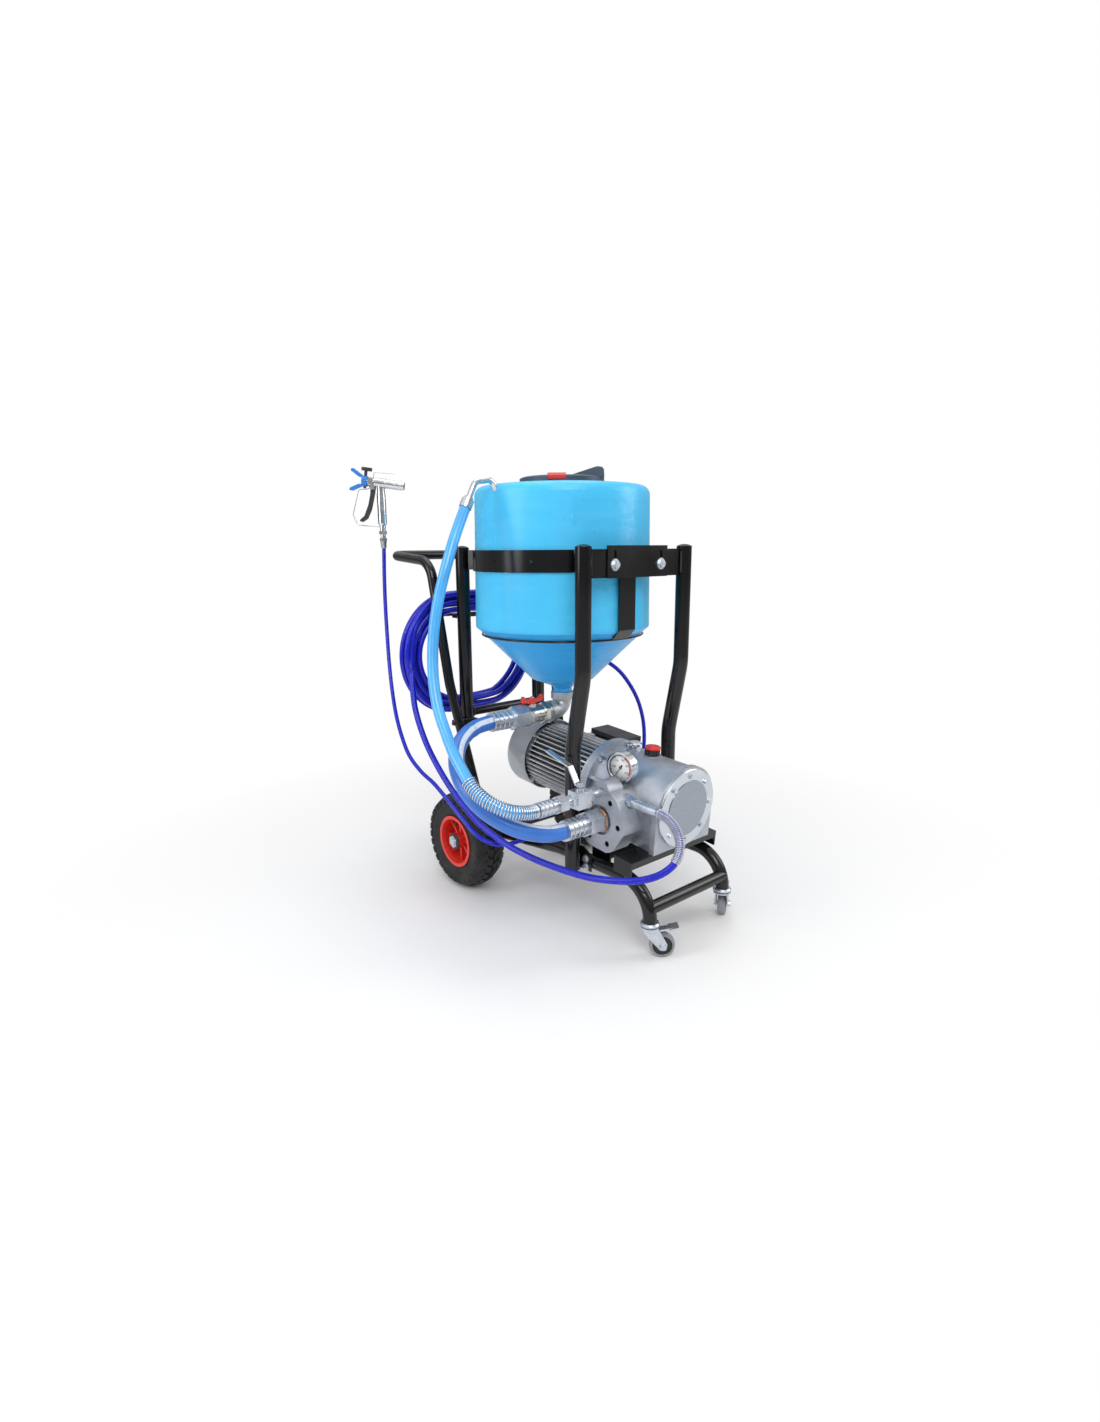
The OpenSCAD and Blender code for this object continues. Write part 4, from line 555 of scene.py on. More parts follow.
        finish("caster_wheel_" + side, (0.25, 0.26, 0.28), 0.5, bump=0.0001, dust=0.12,
               extra=wheel_core(tuple((low + high) / 2)))
    finish("diaphragm_rubber", (0.03, 0.03, 0.03), 0.6, spread=0.2, bump=0.0003)
    finish("weld_bead", scaled(colours.frame, 1.3), 0.34, spread=0.3, extra=cast, bump=0.0006,
           dust=0.12, coat=0.3)


def hose_finish(name, colour, roughness, lines, coat=0.2, **constants):
    """A hose cover. Each line is (place round the hose, half width, colour, strength)."""
    tree, shader = finish(name, colour, roughness, spread=0.1, cloud=16.0, fine=900.0,
                          bump=0.00008, dust=0.05, coat=coat, **constants)
    spot = node(tree, "ShaderNodeUVMap", uv_map="lay")
    split = tree.nodes.new("ShaderNodeSeparateXYZ")
    tree.links.new(spot, split.inputs[0])
    tone = shader.inputs["Base Color"].links[0].from_socket
    for place, half, ink, strength in lines:
        off = math_node(tree, "SUBTRACT", split.outputs["X"], place)
        far = math_node(tree, "ABSOLUTE", math_node(tree, "WRAP", off, 0.5))
        far.node.inputs[0].links[0].from_node.inputs[2].default_value = -0.5
        rubbed = noise(tree, place_of(tree), 90.0, 4.0)
        mask = times(tree, span(tree, far, half * 1.15, half * 0.85),
                         span(tree, rubbed, 0.25, 0.45, strength * 0.6, strength))
        tone = blend_colours(tree, mask, tone, ink)
    put(tree, shader.inputs["Base Color"], tone)


# Nodes whose finish is more particular than their slot's
OWN_FINISH = {
    "motor_housing": "motor_paint", "cap_screws": "head_screws",
    "caster_wheel_left": "caster_wheel_left", "caster_wheel_right": "caster_wheel_right",
}


class SPRAYER_OT_finishes(bpy.types.Operator):
    """Makes every finish and puts it on the frame's own nodes"""

    bl_idname = "sprayer.finishes"
    bl_label = "Finishes"

    def execute(self, context):
        colours = context.scene.sprayer_colours
        for old in list(bpy.data.materials):
            old.name = "cad " + old.name
        build_groups()
        paint_finishes(colours)
        hose_finish("suction_hose_cover", tuple(colours.suction), 0.34,
                    [(0.04, 0.055, (0.8, 0.85, 0.9), 0.95)])
        hose_finish("return_hose_cover", tuple(colours.returning), 0.22,
                    [(k / 10, 0.004, (0.55, 0.78, 0.95), 0.35) for k in range(10)], coat=0.3)
        hose_finish("pressure_hose_cover", tuple(colours.pressure), 0.24,
                    [(0.2, 0.012, (0.3, 0.36, 0.8), 0.35)], coat=0.15, Specular_IOR_Level=0.35)
        slots = {m["slot"] for m in frame["record"]["materials"]}
        for name, cad in nodes.items():
            for holder in cad.material_slots:
                slot = holder.material.name.replace("cad ", "").split(".")[0]
                if slot not in slots:
                    raise RuntimeError(f"{name} has no known slot: {slot}")
                slot = OWN_FINISH.get(name, slot)
                holder.link = "OBJECT"
                holder.material = bpy.data.materials[slot]
        return {"FINISHED"}


# ---------------------------------------------------------------- gun


# The gun's barrel: +Z along it, +X downwards, from the middle of the grip
BARREL = (Matrix.Translation((-0.208, 0.547, 0.904)) @ rotation(139.3, "Z")
          @ Matrix.Translation((0, 0, 0.182)) @ rotation(82, "Y"))
TIP_REACH = 0.044


def slab(name, outline, low, high, place, bevel):
    """A bevelled plate: an outline of (across, along) between two levels of the place's +X."""
    bm = bmesh.new()
    rings = [[bm.verts.new(place @ Vector((level, a, b))) for a, b in outline]
             for level in (low, high)]
    bridge(bm, rings, around=False)
    cap(bm, rings)
    bmesh.ops.bevel(bm, geom=bm.edges[:], offset=bevel, segments=2, affect="EDGES", profile=0.6)
    return finished(name, bm, smooth=False)


def joined(name, parts):
    """One piece out of several."""
    bm = bmesh.new()
    for part in parts:
        bm.from_mesh(part.data)
        bpy.data.objects.remove(part)
    return finished(name, bm, smooth=False)


class SPRAYER_OT_gun(bpy.types.Operator):
    """Builds the gun's forked tip guard and the reversible tip with its handle"""

    bl_idname = "sprayer.gun"
    bl_label = "Gun tip"

    def execute(self, context):
        across = BARREL @ rotation(90, "Z")
        collar = [(0.0066, 0.0363), (0.0135, 0.0363), (0.015, 0.0378), (0.015, 0.0508),
                  (0.0138, 0.0523), (0.0066, 0.0523)]
        parts = [lathe("collar", collar, BARREL, 48)]
        for s in (-1, 1):
            fork = [(s * 0.008, 0.048), (s * 0.0145, 0.0495), (s * 0.031, 0.078), (s * 0.03, 0.086),
                    (s * 0.024, 0.086), (s * 0.01, 0.063)]
            parts.append(slab("fork", fork, -0.006, 0.006, across, 0.0012))
        guard = joined("prong_guard", parts)
        dress(guard, "blue_plastic", "guard")
        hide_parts("tip_guard")
        stem = [(0.0, -0.0305), (0.0044, -0.0305), (0.0044, -0.0165), (0.0036, -0.0155),
                (0.0036, 0.0155), (0.0044, 0.0165), (0.0044, 0.0195), (0.0, 0.0195)]
        upright = BARREL @ Matrix.Translation((0, 0, TIP_REACH)) @ rotation(90, "Y")
        arrow = [(-0.0042, 0.027), (0.0042, 0.027), (0.0052, 0.03), (0.0052, 0.049),
                 (0.002, 0.0575), (-0.002, 0.0575), (-0.0052, 0.049), (-0.0052, 0.03)]
        tip = joined("tip_handle", [lathe("stem", stem, upright, 24),
                                    slab("arrow", arrow, -0.0385, -0.0285, BARREL, 0.002)])
        dress(tip, "black_plastic", "tip")
        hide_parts("spray_tip")
        return {"FINISHED"}


# ---------------------------------------------------------------- hoses


def free_hose(name, route, diameter, material, sides):
    line = curve_through(metres(route), 6)
    hose = tube(name + "_line", line, diameter / 2, sides)
    dress(hose, material)
    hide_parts(name + "_hose")


class SPRAYER_OT_hoses(bpy.types.Operator):
    """Builds the suction, return, pressure and whip hoses"""

    bl_idname = "sprayer.hoses"
    bl_label = "Hoses"

    def execute(self, context):
        sizes = context.scene.sprayer_sizes
        free_hose("suction", SUCTION_ROUTE, sizes.suction_d, "suction_hose_cover", 32)
        free_hose("return", RETURN_ROUTE, sizes.return_d, "return_hose_cover", 28)
        free_hose("pressure", PRESSURE_ROUTE, sizes.pressure_d, "pressure_hose_cover", 20)
        free_hose("whip", WHIP_ROUTE, sizes.whip_d, "pressure_hose_cover", 16)
        return {"FINISHED"}


def coil_line():
    """The middle of the coiled hose: turns side by side, each moving to its next place low down."""
    wobble = random.Random(11)
    ways = [(wobble.uniform(0, 6.28), wobble.uniform(1.4, 3.2)) for _ in COIL_SLOTS]
    per_turn = 48
    start = math.radians(191.6)
    count = int(per_turn * (len(COIL_SLOTS) - 0.4815))
    points = []
    for i in range(count + 1):
        turn = i / per_turn
        angle = start - 2 * math.pi * turn
        low = turn - 0.58
        k = max(0, math.floor(low))
        share = eased((low - k - 0.05) / 0.3) if low > 0 else 0.0
        here = COIL_SLOTS[min(k, len(COIL_SLOTS) - 1)]
        there = COIL_SLOTS[min(k + 1, len(COIL_SLOTS) - 1)]
        r = here[0] + (there[0] - here[0]) * share
        y = here[1] + (there[1] - here[1]) * share
        for turn_no, weight in ((k, 1 - share), (k + 1, share)):
            phase, size = ways[min(turn_no, len(ways) - 1)]
            r += weight * size * math.sin(2 * angle + phase)
            y += weight * 0.4 * size * math.sin(3 * angle - phase)
        r = min(r, 169.6)
        into = eased(turn / 0.3)
        r, y = 164.3 + (r - 164.3) * into, 320 + (y - 320) * into
        out = eased((count - i) / (0.22 * per_turn))
        r, y = 165.6 + (r - 165.6) * out, 324 + (y - 324) * out
        across = math.cos(angle)
        middle = COIL_LEFT * min(1.0, max(0.0, 0.5 - across * 3.2))
        points.append(Vector((middle + r * across, y, COIL_MID + r * math.sin(angle))) * 0.001)
    # The first stretch leaves the pressure hose in its own direction
    begin = Vector(PRESSURE_ROUTE[-1]) * 0.001
    ahead = (Vector(PRESSURE_ROUTE[-1]) - Vector(PRESSURE_ROUTE[-2])).normalized()
    meet = 7
    onward = (points[meet + 1] - points[meet - 1]).normalized()
    reach = (points[meet] - begin).length
    for i in range(meet):
        t = i / meet
        points[i] = ((2 * t ** 3 - 3 * t * t + 1) * begin + (t ** 3 - 2 * t * t + t) * reach * ahead
                     + (3 * t * t - 2 * t ** 3) * points[meet] + (t ** 3 - t * t) * reach * onward)
    return points


class SPRAYER_OT_coil(bpy.types.Operator):
    """Winds the stored pressure hose into its coil on the pegs"""

    bl_idname = "sprayer.coil"
    bl_label = "Hose coil"

    def execute(self, context):
        sizes = context.scene.sprayer_sizes
        line = curve_through(coil_line(), 2)
        coil = tube("coiled_line", line, sizes.pressure_d / 2, 14, up=Vector((0, 1, 0)))
        dress(coil, "pressure_hose_cover")
        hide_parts("hose_coil")
        start = Vector(WHIP_ROUTE[0]) * 0.001
        ahead = (Vector(WHIP_ROUTE[1]) - Vector(WHIP_ROUTE[0])).normalized()
        profile = [(0.0, -0.002), (0.0095, -0.002), (0.0105, 0.001), (0.0105, 0.018), (0.009, 0.02),
                   (0.009, 0.024), (0.0105, 0.026), (0.0105, 0.034), (0.0085, 0.038),
                   (0.0075, 0.058), (0.0066, 0.06), (0.0, 0.06)]
        joiner = lathe("whip_joiner", profile, along(start, ahead), 24)
        dress(joiner, "zinc_plate")
        nut = [(0.0, -0.0105), (0.0085, -0.0105), (0.0105, -0.008), (0.0105, 0.012),
               (0.0092, 0.0135), (0.0112, 0.0145), (0.0112, 0.03), (0.0098, 0.0325), (0.0084, 0.034), (0.0, 0.034)]
        elbow = lathe("whip_elbow", nut, along(line[-1], (line[-3] - line[-1]).normalized()), 24)
        dress(elbow, "zinc_plate")
        return {"FINISHED"}


class SPRAYER_OT_guards(bpy.types.Operator):
    """Winds the two spring guards round their hoses"""

    bl_idname = "sprayer.guards"
    bl_label = "Spring guards"

    def execute(self, context):
        sizes = context.scene.sprayer_sizes
        jobs = [
            ("pressure_guard", PRESSURE_ROUTE, 0.05, 38, sizes.pressure_d / 2 + 0.0018, 0.0021),
            ("return_guard", RETURN_ROUTE[::-1], 0.1, 32, sizes.return_d / 2 + 0.0023, 0.0029),
        ]
        high = 4.6
        for name, route, low, turns, radius, wire in jobs:
            line = curve_through(metres(route), 20)
            steps = turns * 20
            side = Vector((1, 0, 0))
            points = []
            for i in range(steps + 1):
                s = (low + (high - low) * i / steps) * 20
                k = min(int(s), len(line) - 2)
                spot = line[k].lerp(line[k + 1], s - k)
                ahead = (line[k + 1] - line[k]).normalized()
                side = (side - ahead * side.dot(ahead)).normalized()
                lift = ahead.cross(side)
                a = 2 * math.pi * i / 20
                points.append(spot + radius * (math.cos(a) * side + math.sin(a) * lift))
            guard = tube(name, points, wire / 2, 8)
            dress(guard, "bright_steel")
            if name == "pressure_guard":
                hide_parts("spring_guards")
        return {"FINISHED"}


# ---------------------------------------------------------------- wheels


def tyre_mesh(name, centre, sizes):
    """A pneumatic tyre: a turned carcass with four rows of staggered tread blocks."""
    top, half, bead = 0.13, 0.042, 0.0643
    floor = top - sizes.tread_depth
    profile = [(bead, -0.028), (bead + 0.002, -0.031), (bead + 0.006, -0.0345),
               (bead + 0.014, -0.0385), (bead + 0.02, -0.0375), (bead + 0.026, -0.0405),
               (0.1, -half + 0.0003), (0.108, -half + 0.0008), (0.115, -half + 0.003),
               (0.1195, -half + 0.0075), (floor - 0.002, -0.03), (floor, -0.018),
               (floor + 0.0005, 0)]
    profile += [(r, -z) for r, z in profile[-2::-1]]
    place = Matrix.Translation(centre) @ rotation(90, "Y")
    carcass = lathe(name, profile, place, 120)
    bm = bmesh.new()
    bm.from_mesh(carcass.data)
    count = sizes.tread_blocks
    pitch = 2 * math.pi / count
    rows = [(-0.0305, 0.0125, 0.0), (-0.0105, 0.0085, 0.5), (0.0105, 0.0085, 0.0),
            (0.0305, 0.0125, 0.5)]
    for middle, reach, shift in rows:
        for k in range(count):
            a0 = (k + shift) * pitch
            corners = []
            for level, inset in ((floor - 0.004, 0.0), (top - 0.0012, 0.0), (top, 0.0012)):
                ring = []
                for side, part in ((-1, -1), (1, -1), (1, 0), (1, 1), (-1, 1), (-1, 0)):
                    z = middle + side * (reach - inset)
                    skew = 0.16 * side * (1 if shift else -1)
                    a = a0 + (part * (0.36 - inset / (top * pitch)) + skew) * pitch
                    drop = 0.007 * (z / 0.033) ** 2 + (0.0035 if abs(z) > 0.036 else 0.0)
                    radius = level - (drop if level > floor else drop + 0.001)
                    ring.append(bm.verts.new(place @ Vector(
                        (radius * math.cos(a), radius * math.sin(a), z))))
                corners.append(ring)
            bridge(bm, corners, around=False)
            cap(bm, corners)
    bmesh.ops.recalc_face_normals(bm, faces=bm.faces)
    bm.to_mesh(carcass.data)
    bm.free()
    carcass.data.shade_smooth()
    split = carcass.modifiers.new("edges", "EDGE_SPLIT")
    split.split_angle = math.radians(38)
    return carcass


class SPRAYER_OT_tyres(bpy.types.Operator):
    """Builds the tyres with their tread, and the valves in the rims"""

    bl_idname = "sprayer.tyres"
    bl_label = "Tyres"

    def execute(self, context):
        sizes = context.scene.sprayer_sizes
        for side, body in (("left", "wheel_left"), ("right", "wheel_right")):
            low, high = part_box("tyre_" + side)
            centre = (low + high) / 2
            tyre = tyre_mesh("tread_" + side, centre, sizes)
            dress(tyre, "tyre_rubber", body)
            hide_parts("tyre_" + side)
            out = -1 if side == "left" else 1
            foot = centre + Vector((out * 0.012, 0.0, 0.058))
            stem = [(0.0, 0.0), (0.0045, 0.0), (0.004, 0.006), (0.0028, 0.01), (0.0028, 0.018),
                    (0.0036, 0.0185), (0.0036, 0.026), (0.0, 0.0265)]
            valve = lathe("valve_" + side, stem, along(foot, (out * 0.86, 0.0, -0.5)), 16)
            dress(valve, "black_plastic", body)
        return {"FINISHED"}


# ---------------------------------------------------------------- gauge


GAUGE = (Matrix.Translation((-0.09, -0.299, 0.4015)) @ rotation(8, "Z")
         @ rotation(-90, "Y"))
GAUGE_R = 0.037


def plate_part(bm, corners, level):
    """A flat piece of the dial's print. Corners are (angle to the right of up, radius)."""
    ring = []
    for angle, radius in corners:
        a = math.radians(angle)
        ring.append(bm.verts.new(GAUGE @ Vector((radius * math.cos(a), -radius * math.sin(a),
                                                 level))))
    bm.faces.new(ring)


class SPRAYER_OT_gauge(bpy.types.Operator):
    """Builds the gauge's dial, its marks and numbers, and the glass"""

    bl_idname = "sprayer.gauge"
    bl_label = "Gauge"

    def execute(self, context):
        finish("dial_paint", (0.93, 0.94, 0.94), 0.35, spread=0.02, dust=0.0)
        finish("dial_ink", (0.02, 0.02, 0.02), 0.4, spread=0.1, dust=0.0)
        finish("dial_red", (0.8, 0.05, 0.04), 0.4, spread=0.05, dust=0.0)
        tree, shader = surface("gauge_glass")
        smear = use(tree, "grain", "Cloud", Cloud_Scale=40.0)
        put(tree, shader.inputs["Base Color"], blend_colours(tree, smear, (0.97, 0.98, 0.98),
                                                             (1.0, 1.0, 1.0)))
        put(tree, shader.inputs["Roughness"], span(tree, smear, 0.0, 1.0, 0.02, 0.07))
        shader.inputs["Transmission Weight"].default_value = 1.0
        shader.inputs["IOR"].default_value = 1.05
        dial = lathe("dial", [(0.0, -0.0049), (GAUGE_R - 0.0041, -0.0049),
                              (GAUGE_R - 0.0041, -0.0046), (0.0, -0.0045)], GAUGE, 64)
        dress(dial, "dial_paint")
        low, sweep = -145.0, 270.0
        ink, red = bmesh.new(), bmesh.new()
        for k in range(51):
            a = low + sweep * k / 50
            long = k % 10 == 0
            half = 1.0 if long else (0.75 if k % 5 == 0 else 0.45)
            inner = 0.0255 if long else (0.0268 if k % 5 == 0 else 0.028)
            plate_part(ink, [(a - half, inner), (a + half, inner), (a + half * 0.8, 0.0305),
                             (a - half * 0.8, 0.0305)], -0.00435)
        for k in range(40):
            a, b = low + sweep * k / 40, low + sweep * (k + 1) / 40
            plate_part(ink, [(a, 0.0305), (b, 0.0305), (b, 0.031), (a, 0.031)], -0.0043)
            if k >= 25:
                plate_part(red, [(a, 0.0236), (b, 0.0236), (b, 0.0303), (a, 0.0303)], -0.00445)
        marks = finished("dial_marks", ink, smooth=False)
        dress(marks, "dial_ink")
        arc = finished("dial_arc", red, smooth=False)
        dress(arc, "dial_red")
        facing = Matrix(((0, 1, 0, 0), (-1, 0, 0, 0), (0, 0, 1, 0), (0, 0, 0, 1)))
        for k in range(6):
            a = math.radians(low + sweep * k / 5)
            words = bpy.data.curves.new(f"number_{k}", "FONT")
            words.body = str(100 * k)
            words.size = 0.0062
            words.align_x = "CENTER"
            words.align_y = "CENTER"
            spot = Vector((0.0185 * math.cos(a), -0.0185 * math.sin(a), -0.0042))
            number = bpy.data.objects.new(f"number_{k}", words)
            bpy.context.scene.collection.objects.link(number)
            number.matrix_world = GAUGE @ Matrix.Translation(spot) @ facing
            dress(number, "dial_ink")
        dome = [(0.0, 0.0009), (0.012, 0.0007), (0.022, 0.0001), (0.0325, -0.0012),
                (0.0325, -0.002), (0.0, -0.0004)]
        glass = lathe("gauge_glass", dome, GAUGE, 64)
        dress(glass, "gauge_glass")
        rim = [(0.0336 + 0.0032 * math.cos(t), -0.0002 + 0.0013 * math.sin(t))
               for t in [2 * math.pi * k / 14 for k in range(14)]]
        bezel = lathe("gauge_bezel", rim, GAUGE, 72)
        dress(bezel, "bright_steel")
        return {"FINISHED"}


# ---------------------------------------------------------------- welds


def weld(name, centre, axis, radius, bead, seed):
    """A rippled weld bead round a tube."""
    ripple = random.Random(seed)
    place = along(Vector(centre), axis)
    bm = bmesh.new()
    rings = []
    count = 90
    phase = ripple.uniform(0, 6)
    for k in range(count):
        a = 2 * math.pi * k / count
        fat = bead / 2 * (1 + 0.16 * math.sin(a * 24 + phase) + 0.08 * ripple.uniform(-1, 1))
        lean = 0.0004 * math.sin(a * 24 + phase + 1.2)
        rings.append([bm.verts.new(spot) for spot in ring_at(place, radius, fat, lean, a)])
    bridge(bm, rings)
    return finished(name, bm)


def seam(name, start, end, out, bead, seed):
    """A straight, rippled weld bead from start to end."""
    ripple = random.Random(seed)
    a, b = Vector(start), Vector(end)
    ahead = (b - a).normalized()
    across = ahead.cross(Vector(out)).normalized()
    count = int((b - a).length / 0.0009)
    phase = ripple.uniform(0, 6)
    bm = bmesh.new()
    rings = []
    for k in range(count + 1):
        t = k / count
        end_fat = min(1.0, 6 * min(t, 1 - t) + 0.35)
        uneven = 0.2 * math.sin(k * 1.5 + phase) + 0.08 * ripple.uniform(-1, 1)
        fat = bead / 2 * end_fat * (1 + uneven)
        rings.append([bm.verts.new(a.lerp(b, t) + fat * (math.cos(u) * Vector(out).normalized()
                                                         + math.sin(u) * across))
                      for u in [2 * math.pi * j / 8 for j in range(8)]])
    bridge(bm, rings, around=False)
    cap(bm, rings)
    return finished(name, bm)


class SPRAYER_OT_welds(bpy.types.Operator):
    """Lays the weld beads where the frame's tubes meet"""

    bl_idname = "sprayer.welds"
    bl_label = "Weld beads"

    def execute(self, context):
        bead = context.scene.sprayer_sizes.bead
        spots = []
        for s in (-1, 1):
            spots.append(((s * 0.1115, 0.259, 0.45), (1, 0, 0), 0.012))
            spots.append(((s * 0.131, 0.259, 0.4342), (0, 0, 1), 0.0187))
            spots.append(((s * 0.1155, 0.15, 0.13), (1, 0, 0), 0.0172))
            spots.append(((s * 0.1485, 0.15, 0.13), (1, 0, 0), 0.0172))
        for k, (centre, axis, radius) in enumerate(spots):
            ring = weld(f"weld_{k}", centre, axis, radius, bead, 40 + k)
            dress(ring, "weld_bead")
        for k, s in enumerate((-1, 1)):
            line = seam(f"plate_weld_{k}", (s * 0.1515, -0.2635, 0.839),
                        (s * 0.1515, -0.2635, 0.893), (-s * 0.3, -1, 0), bead * 1.2, 60 + k)
            dress(line, "weld_bead")
        return {"FINISHED"}


class SPRAYER_OT_fittings(bpy.types.Operator):
    """Adds the red top of the oil cap, the gauge's brass nut, the port's washer and hub rings"""

    bl_idname = "sprayer.fittings"
    bl_label = "Small fittings"

    def execute(self, context):
        finish("copper", (0.72, 0.3, 0.12), 0.3, 1.0, spread=0.15, cloud=40.0, dust=0.05)
        finish("brass", (0.68, 0.5, 0.2), 0.25, 1.0, spread=0.15, cloud=40.0, dust=0.05)
        tilt = Matrix.Translation(PUMP_DATUM) @ rotation(PUMP_TILT, "X")
        low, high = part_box("oil_cap")
        inside = tilt.inverted() @ ((low + high) / 2)
        peak = max((tilt.inverted() @ v.co).z for v in nodes["oil_cap"].data.vertices)
        middle = tilt @ Matrix.Translation((inside.x, inside.y, peak))
        cap = [(0.0, -0.001), (0.0185, -0.001), (0.0188, 0.0), (0.0188, 0.0032), (0.0178, 0.0044),
               (0.011, 0.0048), (0.0103, 0.0058), (0.0, 0.006)]
        top = lathe("oil_cap_top", cap, middle, 40)
        dress(top, "red_plastic", "filler_cap")
        nut = lathe("gauge_nut", [(0.0072, 0.0), (0.0102, 0.0), (0.0108, 0.0012), (0.0108, 0.0068),
                                  (0.0102, 0.008), (0.0072, 0.008)],
                    Matrix.Translation((-0.077, -0.297, 0.3625)), 6)
        dress(nut, "brass")
        washer = [(0.022, 0.0), (0.0285, 0.0), (0.0292, 0.0008), (0.0292, 0.0022), (0.0285, 0.003),
                  (0.022, 0.003)]
        seal = lathe("port_seal", washer, along(Vector((-0.1478, -0.2924, 0.2875)), (-1, 0, 0)), 48)
        dress(seal, "copper")
        for side, body in (("left", "wheel_left"), ("right", "wheel_right")):
            low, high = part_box("rim_" + side)
            out = -1 if side == "left" else 1
            face = low.x if side == "left" else high.x
            hub = Vector((face - out * 0.0005, (low.y + high.y) / 2, (low.z + high.z) / 2))
            ring = lathe("hub_ring_" + side, [(0.0118, 0.0), (0.0225, 0.0), (0.0225, 0.0012),
                                              (0.021, 0.0024), (0.0126, 0.0024), (0.0118, 0.0014)],
                         along(hub, (out, 0, 0)), 40)
            dress(ring, "black_plastic", body)
        return {"FINISHED"}


# ---------------------------------------------------------------- stage


def lamp(name, place, target, size, power):
    light = bpy.data.lights.new(name, "AREA")
    light.shape = "RECTANGLE"
    light.size, light.size_y = size
    light.energy = power
    stand = bpy.data.objects.new(name, light)
    bpy.context.scene.collection.objects.link(stand)
    stand.location = place
    aim = Vector(target) - Vector(place)
    stand.rotation_euler = aim.to_track_quat("-Z", "Y").to_euler()


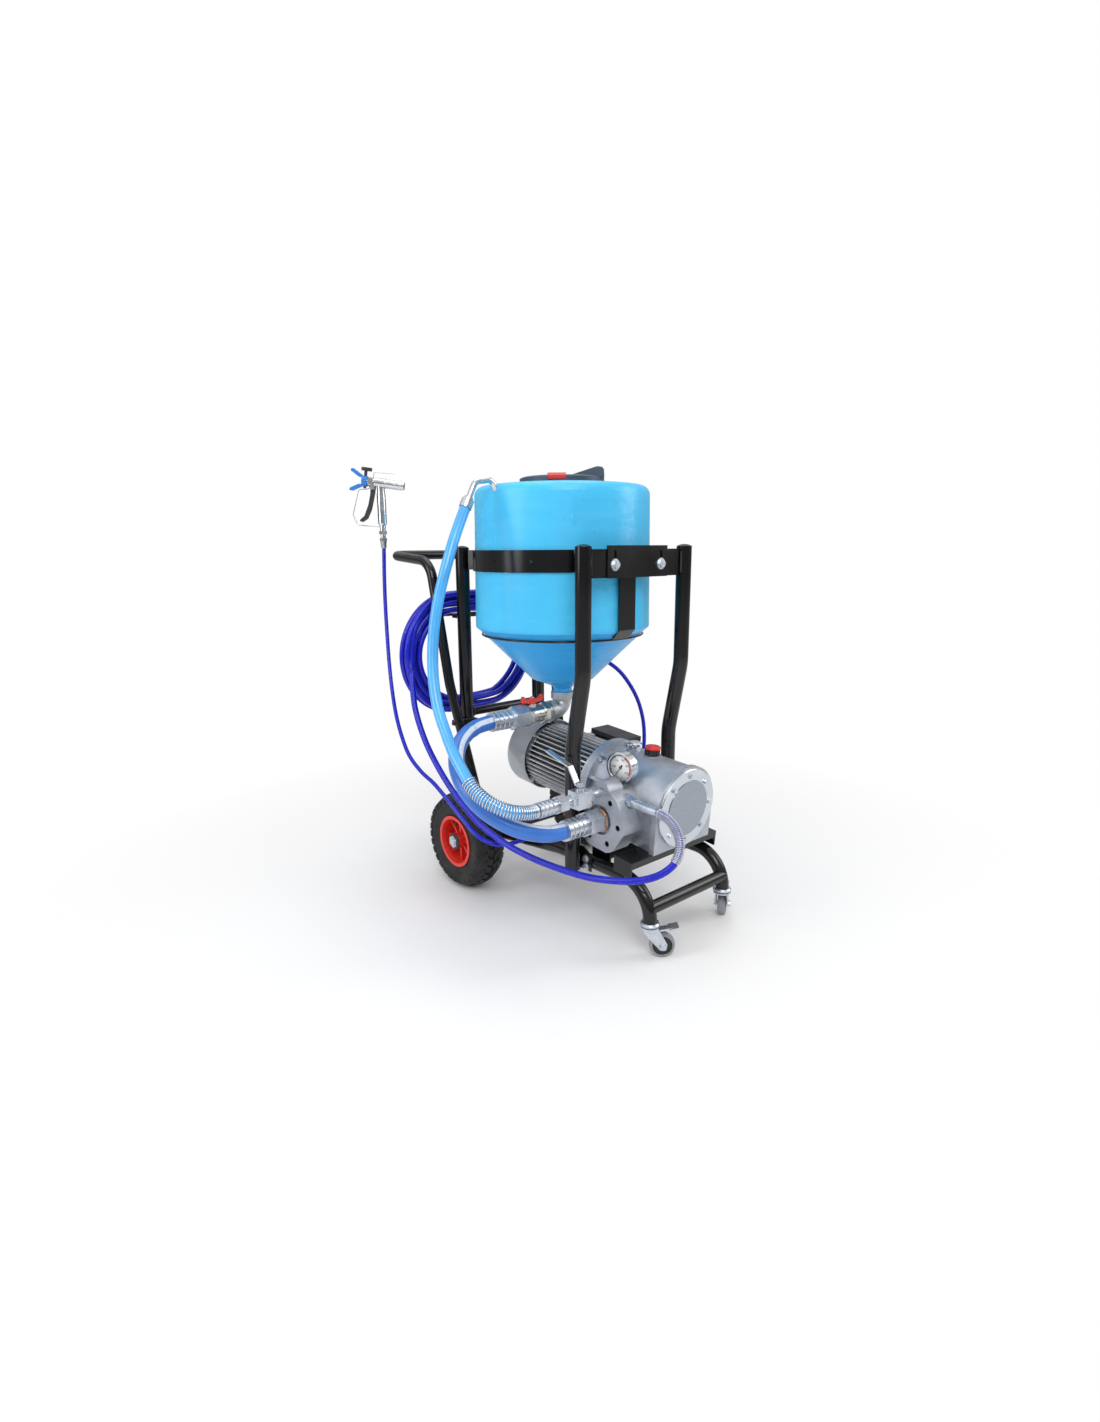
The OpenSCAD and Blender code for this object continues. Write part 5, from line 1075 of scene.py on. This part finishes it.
class SPRAYER_OT_stage(bpy.types.Operator):
    """Sets the camera, the floor, the lamps and the world"""

    bl_idname = "sprayer.stage"
    bl_label = "Stage"

    def execute(self, context):
        scene = context.scene
        scene.view_settings.view_transform = "Standard"
        camera = bpy.data.cameras.new("camera")
        camera.sensor_fit = "VERTICAL"
        camera.sensor_height = 24.0
        camera.lens = 24.0 * 747.09 / 1422
        camera.clip_end = 50.0
        holder = bpy.data.objects.new("camera", camera)
        scene.collection.objects.link(holder)
        ahead = Vector((0.63753, 0.74071, -0.21192)).normalized()
        turn = math.radians(-40.72)
        right = Vector((math.cos(turn), math.sin(turn), 0))
        up = (-ahead).cross(right)
        roll = math.radians(-0.40)
        across = math.cos(roll) * right + math.sin(roll) * up
        above = math.cos(roll) * up - math.sin(roll) * right
        place = Matrix((across, above, -ahead)).transposed().to_4x4()
        place.translation = Vector((-1.29802, -1.45626, 0.89889))
        holder.matrix_world = place
        scene.camera = holder

        tree, shader = surface("floor")
        speck = noise(tree, place_of(tree), 60.0, 4.0)
        put(tree, shader.inputs["Base Color"], blend_colours(tree, speck, (0.93, 0.93, 0.93),
                                                             (0.95, 0.95, 0.95)))
        put(tree, shader.inputs["Roughness"], span(tree, speck, 0.0, 1.0, 0.5, 0.7))
        put(tree, shader.inputs["Normal"], node(tree, "ShaderNodeBump",
                                                {"Distance": 0.0002, "Height": speck}))
        far = span(tree, size_of(tree, place_of(tree)), 0.5, 1.5)
        seen = node(tree, "ShaderNodeLightPath", out="Is Camera Ray")
        white = node(tree, "ShaderNodeEmission", {"Color": (1, 1, 1), "Strength": 1.0})
        mixed = node(tree, "ShaderNodeMixShader",
                     {0: times(tree, far, seen), 1: shader.outputs[0], 2: white})
        tree.links.new(mixed, tree.nodes["Material Output"].inputs[0])
        bm = bmesh.new()
        bmesh.ops.create_grid(bm, x_segments=8, y_segments=8, size=12.0)
        floor = finished("floor", bm)
        floor.data.materials.append(bpy.data.materials["floor"])

        world = bpy.data.worlds.new("studio")
        scene.world = world
        world.use_nodes = True
        tree = world.node_tree
        tree.nodes.clear()
        ray = tree.nodes.new("ShaderNodeLightPath")
        height = node(tree, "ShaderNodeSeparateXYZ",
                      {0: node(tree, "ShaderNodeTexCoord", out="Generated")}, out="Z")
        mirrored = times(tree, ray.outputs["Is Glossy Ray"],
                             span(tree, height, -0.1, 0.75, -0.34, 0.35))
        shown = times(tree, ray.outputs["Is Camera Ray"], 0.5)
        strength = plus(tree, plus(tree, mirrored, shown), 0.5)
        sky = node(tree, "ShaderNodeBackground", {"Color": (1, 1, 1), "Strength": strength})
        tree.links.new(sky, tree.nodes.new("ShaderNodeOutputWorld").inputs[0])

        lamp("key", (-1.6, -2.2, 2.6), (0, 0, 0.5), (1.6, 1.6), 42)
        lamp("left", (-2.6, 0.6, 1.6), (0, 0, 0.55), (1.2, 1.8), 22)
        lamp("right", (2.2, -1.8, 1.8), (0, 0, 0.5), (1.2, 1.6), 22)
        lamp("top", (0.2, 0.4, 3.2), (0, 0, 0.5), (2.0, 2.0), 22)
        return {"FINISHED"}


# ---------------------------------------------------------------- panel and run


OPERATORS = (
    SPRAYER_OT_stage, SPRAYER_OT_finishes, SPRAYER_OT_gun, SPRAYER_OT_hoses, SPRAYER_OT_coil,
    SPRAYER_OT_guards, SPRAYER_OT_tyres, SPRAYER_OT_gauge, SPRAYER_OT_welds, SPRAYER_OT_fittings,
)


class SPRAYER_PT_panel(bpy.types.Panel):
    """The sprayer's sizes, colours and pieces"""

    bl_idname = "SPRAYER_PT_panel"
    bl_label = "Sprayer"
    bl_space_type = "VIEW_3D"
    bl_region_type = "UI"
    bl_category = "Sprayer"

    def draw(self, context):
        for owner in (context.scene.sprayer_sizes, context.scene.sprayer_colours):
            box = self.layout.box()
            for key in owner.__annotations__:
                box.prop(owner, key)
        for operator in OPERATORS:
            self.layout.operator(operator.bl_idname)


CLASSES = (SprayerSizes, SprayerColours, *OPERATORS, SPRAYER_PT_panel)


def register():
    for item in CLASSES:
        bpy.utils.register_class(item)
    bpy.types.Scene.sprayer_sizes = bpy.props.PointerProperty(type=SprayerSizes)
    bpy.types.Scene.sprayer_colours = bpy.props.PointerProperty(type=SprayerColours)


def unregister():
    del bpy.types.Scene.sprayer_sizes
    del bpy.types.Scene.sprayer_colours
    for item in reversed(CLASSES):
        bpy.utils.unregister_class(item)


def main():
    register()
    for operator in OPERATORS:
        group, name = operator.bl_idname.split(".")
        getattr(getattr(bpy.ops, group), name)()
    bpy.context.view_layer.update()


if __name__ == "__main__":
    main()
